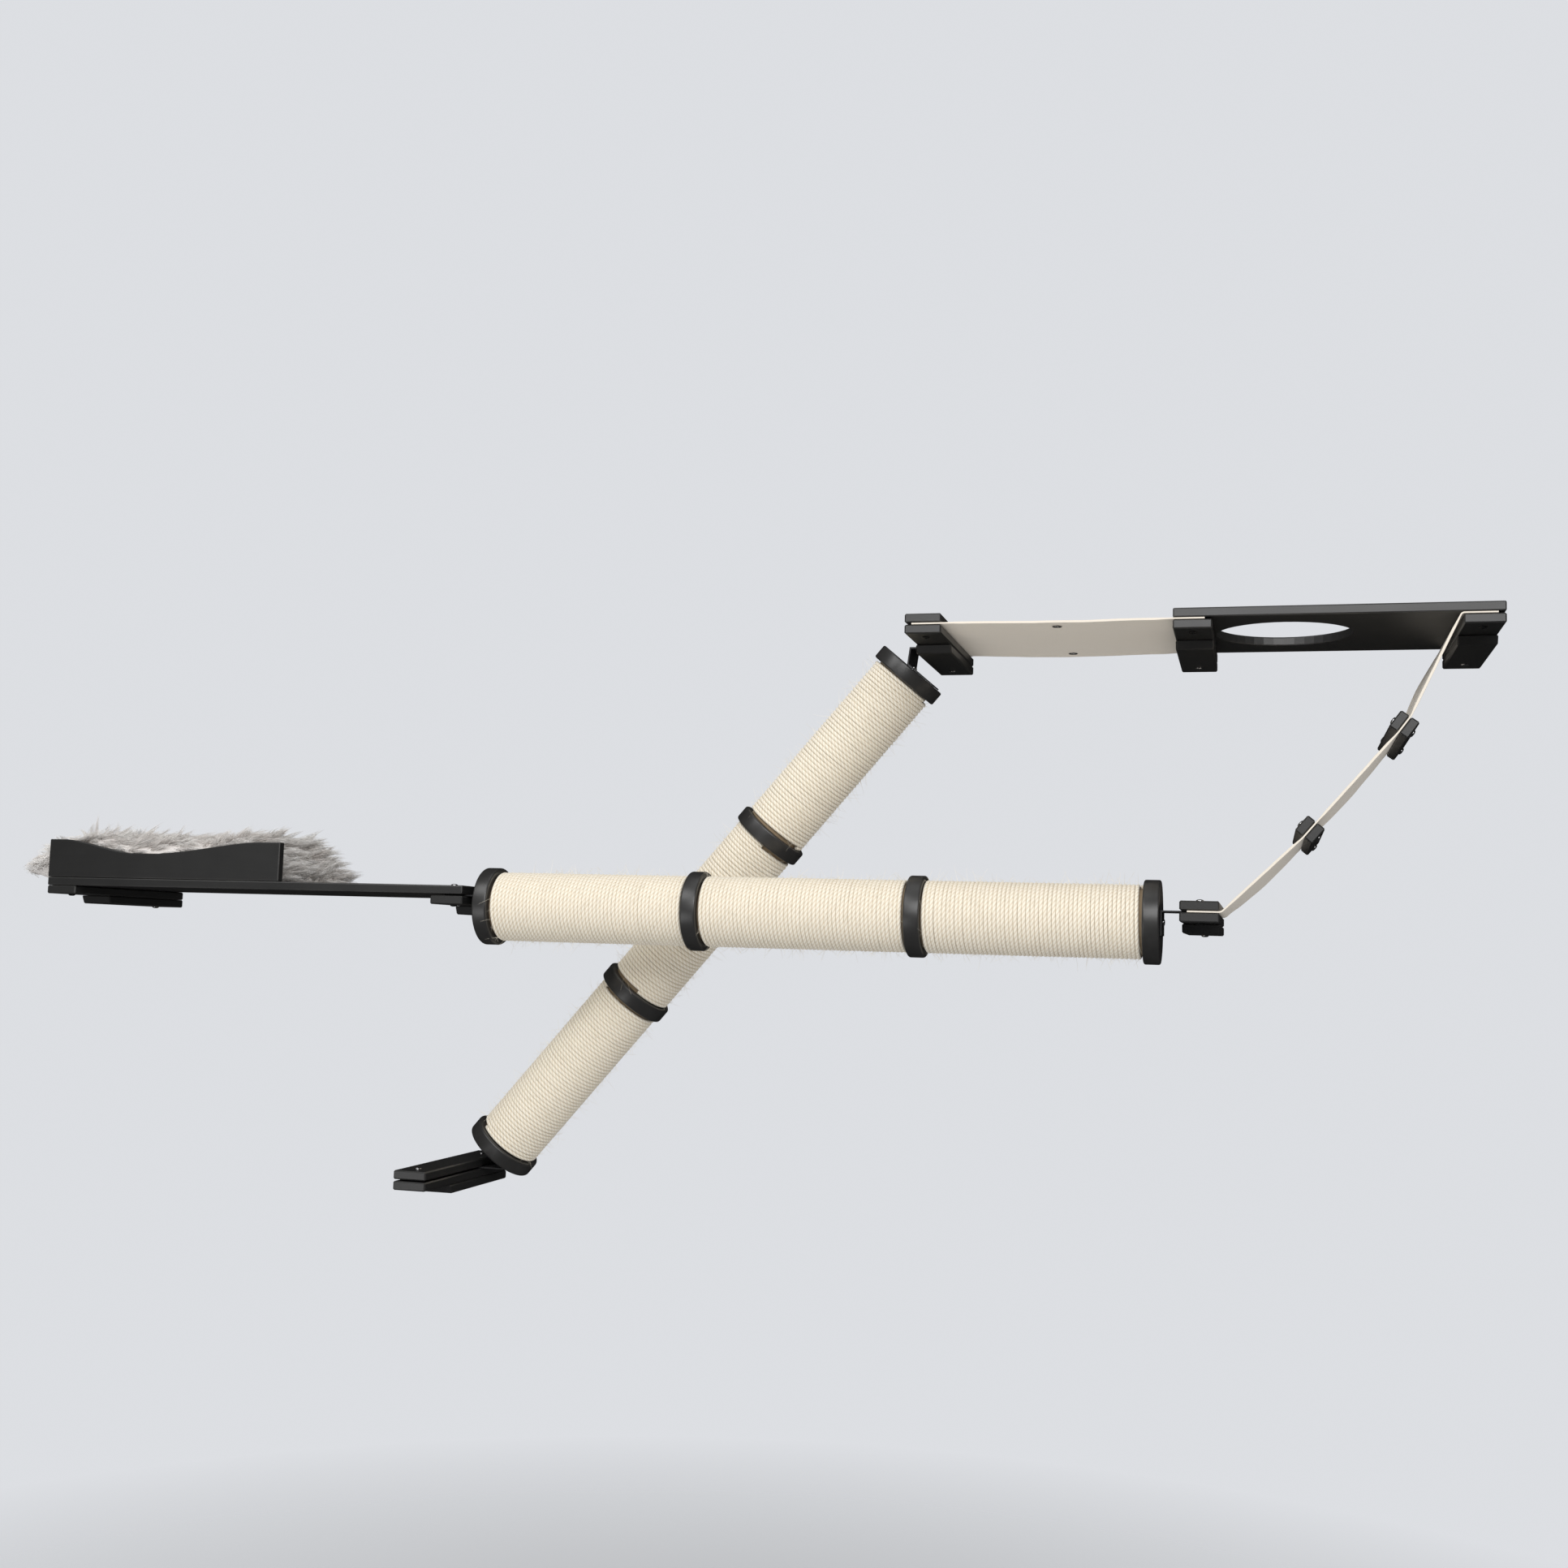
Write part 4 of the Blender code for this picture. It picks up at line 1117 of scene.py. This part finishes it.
def makeFurPad():
    xs = [mat["left"] - mat["past"] + index * mat["hangStep"] for index in range(8)]
    bed = mat["right"] - mat["endGap"] - mat["hang"]
    xs += [mat["hang"] + index * bed / mat["bedSteps"] for index in range(mat["bedSteps"] + 1)]
    points, around = [], mat["around"]
    front, rear = mat["front"] + mat["inset"], mat["rear"] - mat["inset"]
    for x in xs:
        low, top = padOutline(x)
        middleY, middleZ = (front + rear) / 2, (low + top) / 2
        for index in range(around):
            angle = 2 * math.pi * (index + 0.5) / around
            across, up = math.cos(angle), math.sin(angle)
            y = middleY + (rear - front) / 2 * math.copysign(abs(across) ** 0.55, across)
            z = middleZ + (top - low) / 2 * math.copysign(abs(up) ** 0.8, up)
            if up > 0:
                z += mat["rough"] * noise.noise(Vector((x * 30, y * 30, 3.3))) * up
            points.append((x, y, z))
    pad = bodyMesh("fur_backing", points, tubeFaces(0, len(xs), around))
    pad.data.shade_smooth()
    dress(pad, backingFinish)
    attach(pad, "wall_frame")
    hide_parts("fur_mat")
    return pad


def keepClear(spot, before):
    # a strand lies on the plank, and goes over the board's top edge, not through the board
    x, y, z = spot
    overPlank = x > board["left"] - mat["side"]
    if overPlank and x < board["left"] + board["length"] + mat["side"]:
        top = boardTop(x) + mat["over"]
        back = board["front"] + board["thickness"] + mat["clear"]
        if z < top and y < back:
            # a strand that was above the edge a step before stays on it, and any other stays behind
            if before is not None and before.z > boardTop(before.x) + mat["stay"] and before.y < back:
                z = top
            else:
                y = back
    if overPlank and z < mat["base"] + mat["clear"] and y > board["front"]:
        z = mat["base"] + mat["clear"]
    if not overPlank and z < mat["hangBottom"] - mat["past"]:
        z = mat["hangBottom"] - mat["past"]
    return Vector((x, min(max(y, board["front"] - mat["reach"]), mat["wall"]), z))


def growFur(pad):
    # locks of strands rooted all over the backing's top and sides
    dice = random.Random(7)
    mesh = pad.data
    mesh.calc_loop_triangles()
    roots, weights = [], []
    for triangle in mesh.loop_triangles:
        normal = triangle.normal
        if normal.z > -0.35:
            beyond = mesh.vertices[triangle.vertices[0]].co.x < mat["hang"]
            weights.append(triangle.area * (2.2 if beyond else 1.0) * (1.0 if normal.z > -0.05 else 0.5))
            roots.append((triangle, Vector(normal)))
    for number in range(mat["pieces"]):
        points, faces, uvs = [], [], []
        for chosen in dice.choices(range(len(roots)), weights=weights, k=mat["locks"]):
            triangle, normal = roots[chosen]
            first, second = dice.random(), dice.random()
            if first + second > 1:
                first, second = 1 - first, 1 - second
            a, b, c = (mesh.vertices[index].co for index in triangle.vertices)
            growLock(a + (b - a) * first + (c - a) * second, normal, dice, points, faces, uvs)
        hair = bodyMesh("fur_hair_%d" % (number + 1), points, faces, uvs)
        hair.data.shade_smooth()
        dress(hair, furFinish)
        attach(hair, "wall_frame")


def growLock(root, normal, dice, points, faces, uvs):
    # the strands of a lock share one curved line and close up towards its tip
    drift = Vector([noise.noise(root * 34 + Vector(shift)) for shift in ((0, 0, 0), (9, 0, 0), (0, 9, 0))])
    left = 1 - easedBetween(root.x, mat["hang"] - 0.015, mat["hang"] + 0.030)
    right = easedBetween(root.x, mat["right"] - 0.09, mat["right"] - 0.02)
    comb = Vector((1.0 - 1.7 * left - 0.25 * right, -0.18, 0.12 * left))
    heading = comb + normal * (0.26 + 0.45 * right + 0.3 * left) + drift * 0.55
    heading += Vector([dice.gauss(0, 0.13) for axis in range(3)])
    heading.normalize()
    length = mat["length"] * dice.uniform(0.5, 1.25) * (1 - 0.45 * left)
    weight = Vector((0.06 * (1 - left), -0.04, -0.20 - 0.85 * left))
    tint = 0.58 + 0.6 * drift.x + dice.gauss(0, 0.22)
    count = mat["bends"]
    spine = [root - normal * mat["sink"]]
    for step in range(count):
        spine.append(spine[-1] + heading * (length / count))
        heading = (heading + weight * (0.5 + step / count) / count * 1.6).normalized()
    for number in range(mat["strands"]):
        spread = Vector([dice.gauss(0, mat["spread"]) for axis in range(3)])
        stray = Vector([dice.gauss(0, mat["stray"]) for axis in range(3)])
        reach = dice.uniform(0.6, 1.0)
        line = []
        for step in range(count + 1):
            share = step / count * reach
            index = min(int(share * count), count - 1)
            part = share * count - index
            middle = spine[index] * (1 - part) + spine[index + 1] * part
            spot = middle + spread * (1 - share) ** 0.8 + stray * share
            line.append(keepClear(spot, line[-1] if line else None))
        own = min(max(tint + dice.gauss(0, 0.07), 0.02), 0.98)
        addStrand(line, mat["thick"] * dice.uniform(0.6, 1.4), own, points, faces, uvs)


def addStrand(line, stout, tint, points, faces, uvs):
    first, count = len(points), len(line) - 1
    for step in range(count):
        share = step / count
        heading = line[step + 1] - line[step]
        heading = heading.normalized() if heading.length > 1e-6 else Vector((1, 0, 0))
        points += cornersRound(line[step], heading, stout * (1.0 - 0.75 * share ** 1.4))
    points.append(line[-1])
    faces += hairFaces(first, count)
    for step in range(count - 1):
        low, high = step / count, (step + 1) / count
        uvs += [(tint, low), (tint, low), (tint, high), (tint, high)] * 3
    uvs += [(tint, 0.8), (tint, 0.8), (tint, 1.0)] * 3 + [(tint, 0.0)] * 3


growFur(makeFurPad())
print("fur done")


# ---- finishes of the rigid pieces that come with the frame
# the lightest colour is painted onto the edges as a highlight
wood = {"dark": (0.0110, 0.0109, 0.0106), "lit": (0.0195, 0.0193, 0.0188), "paintedHighlight": (0.075, 0.072, 0.068),
        "edge": 0.0025, "acrossGrain": 220.0, "alongGrain": 6.0, "poreScale": 3.5}


def paintedWood(name, along, number):
    # satin black paint on planed wood: grain shows faintly, and a painted highlight lightens the edges
    low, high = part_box(name)
    finish = Finish("black_wood_" + name)
    stretch = [wood["acrossGrain"]] * 3
    stretch[along] = wood["alongGrain"]
    fine = tuple(value * wood["poreScale"] for value in stretch)
    shift = (number * 1.7, number * 0.9, number * 2.3)
    grain = finish.cloudy(finish.place(tuple(stretch), (0, 0, 0), shift), 1.0, 5, 0.6, 0.6)
    pores = finish.cloudy(finish.place(fine, (0, 0, 0), shift), 1.0, 2, 0.5)
    spray = finish.cloudy(finish.place(), 1400, 2, 0.5)
    cloud = finish.cloudy(finish.place((1, 1, 1), (0, 0, 0), shift), 11, 5, 0.6)
    near = []
    for axis, coordinate in enumerate(finish.parted(finish.place())):
        centre, half = (low[axis] + high[axis]) / 2, (high[axis] - low[axis]) / 2
        inside = half - finish.maths("ABSOLUTE", coordinate - centre)
        near.append(finish.clamped(1 - inside * (1 / wood["edge"])))
    edge = finish.clamped(near[0] * near[1] + near[1] * near[2] + near[0] * near[2])
    # painted highlight: patches along the edges turn lighter, as if they caught the light
    edgeHighlight = finish.clamped(edge * (cloud * 2.2 - 0.62))
    paint = finish.blended(grain * 0.5 + cloud * 0.5, wood["dark"], wood["lit"])
    colour = finish.blended(edgeHighlight * 0.75, paint, wood["paintedHighlight"])
    gloss = 0.36 + cloud * 0.12 - edgeHighlight * 0.06
    relief = finish.bumped(grain * 0.8 + pores * 0.2, 0.12, 0.0003)
    relief = finish.bumped(spray, 0.05, 0.0001, relief)
    return finish.surface({"Base Color": colour, "Roughness": gloss, "Normal": relief,
                           "Specular IOR Level": 0.85})


def powderSteel():
    finish = Finish("black_steel")
    spot = finish.place()
    peel = finish.cloudy(spot, 1100, 3, 0.5)
    cloud = finish.cloudy(spot, 30, 4, 0.6)
    colour = finish.blended(cloud, (0.020, 0.020, 0.021), (0.040, 0.040, 0.042))
    return finish.surface({"Base Color": colour, "Roughness": 0.38 + cloud * 0.15, "Metallic": 0.25,
                           "Normal": finish.bumped(peel, 0.3, 0.0002)})


def coreBoard():
    finish = Finish("core_board")
    wound = finish.cloudy(finish.place((60, 60, 60)), 2, 6, 0.7)
    colour = finish.blended(wound, (0.25, 0.18, 0.11), (0.38, 0.29, 0.19))
    return finish.surface({"Base Color": colour, "Roughness": 0.9,
                           "Normal": finish.bumped(wound, 0.3, 0.0004)})


def paintFrame():
    steel, core = powderSteel(), coreBoard()
    number = 0
    for name in sorted(nodes):
        if name.startswith("plate_"):
            paintNode(name, steel)
        elif name.endswith("_core"):
            paintNode(name, core)
        elif name.split("_")[0] in ("arm", "block", "strip", "bed", "hatch", "rung") and "bolt" not in name:
            low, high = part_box(name)
            sizes = [high[axis] - low[axis] for axis in (0, 1, 2)]
            number += 1
            paintNode(name, paintedWood(name, sizes.index(max(sizes)), number))


paintFrame()
print("finishes done")


# ---- floor, lights and background
stageSetting = {"floor": -2.2, "size": 60, "floorColour": (0.64, 0.65, 0.67), "glow": 0.10, "dim": 0.02,
                "back": (0.72, 0.735, 0.765), "world": 0.50, "near": 1.6, "far": 3.4, "middle": (-0.8, -0.2)}
lamps = {
    "front": {"place": (0.3, -3.5, 1.25), "aim": (-0.6, -0.15, -0.40), "size": (3.6, 1.7), "power": 86},
    "key": {"place": (-2.4, -2.6, 2.2), "aim": (-0.9, -0.15, -0.45), "size": (1.6, 1.6), "power": 31},
    "top": {"place": (-0.7, -0.5, 2.5), "aim": (-0.7, -0.15, -0.45), "size": (2.0, 2.0), "power": 9},
    "low": {"place": (-2.3, -3.1, -1.5), "aim": (-0.9, -0.15, -0.6), "size": (1.8, 1.0), "power": 13},
}
white = (1.0, 1.0, 1.0, 1.0)


def makeFloor():
    startPrimitive()
    bpy.ops.mesh.primitive_plane_add(size=stageSetting["size"], location=(0, 0, stageSetting["floor"]))
    floor = bpy.context.object
    floor.name = "floor"
    settle(floor)
    finish = Finish("pale_floor")
    cloud = finish.cloudy(finish.place(), 3, 3)
    pale = stageSetting["floorColour"]
    colour = finish.blended(cloud, pale, tuple(0.98 * part for part in pale))
    lit = finish.node("ShaderNodeBsdfPrincipled", {}, {
        "Base Color": colour, "Roughness": 0.85, "Specular IOR Level": 0.2,
        "Emission Color": colour, "Emission Strength": stageSetting["glow"]})
    # gloss sees a dim floor, so that undersides of black pieces stay dark
    glossy = finish.node("ShaderNodeLightPath", output="Is Glossy Ray")
    dim = finish.node("ShaderNodeEmission", {}, {"Color": white, "Strength": stageSetting["dim"]})
    either = finish.node("ShaderNodeMixShader", {}, {0: glossy, 1: lit, 2: dim})
    # the floor fades out round the object, so no horizon shows
    near, far = stageSetting["near"], stageSetting["far"]
    acrossX, acrossY = finish.parted(finish.place())[:2]
    sideX, sideY = acrossX - stageSetting["middle"][0], acrossY - stageSetting["middle"][1]
    away = finish.maths("SQRT", sideX * sideX + sideY * sideY)
    gone = finish.clamped((away - near) * (1 / (far - near)))
    clear = finish.node("ShaderNodeBsdfTransparent")
    dress(floor, finish.ended(finish.node("ShaderNodeMixShader", {}, {0: gone, 1: either, 2: clear})))


def makeLamps():
    for name, lamp in lamps.items():
        data = bpy.data.lights.new(name, "AREA")
        data.shape = "RECTANGLE"
        data.size, data.size_y = lamp["size"]
        data.energy = lamp["power"]
        light = bpy.data.objects.new(name, data)
        light.location = lamp["place"]
        aim = Vector(lamp["aim"]) - Vector(lamp["place"])
        light.rotation_euler = aim.to_track_quat("-Z", "Y").to_euler()
        bpy.context.scene.collection.objects.link(light)


def makeWorld():
    # the camera sees a pale background, other rays a softer light, and gloss a dim one
    sky = Finish("studio", "worlds")
    seen = sky.maths("MAXIMUM", sky.node("ShaderNodeLightPath", output="Is Camera Ray"),
                     sky.node("ShaderNodeLightPath", output="Is Transmission Ray"))
    glossy = sky.node("ShaderNodeLightPath", output="Is Glossy Ray")
    strength = sky.node("ShaderNodeMix", {}, {"Factor": glossy, "A": stageSetting["world"],
                                              "B": stageSetting["dim"]}, "Result")
    light = sky.node("ShaderNodeBackground", {}, {"Color": white, "Strength": strength})
    back = sky.node("ShaderNodeBackground", {}, {"Color": (*stageSetting["back"], 1.0)})
    either = sky.node("ShaderNodeMixShader", {}, {0: seen, 1: light, 2: back})
    sky.node("ShaderNodeOutputWorld", {}, {"Surface": either})
    bpy.context.scene.world = sky.owner


makeFloor()
makeLamps()
makeWorld()
print("stage done")
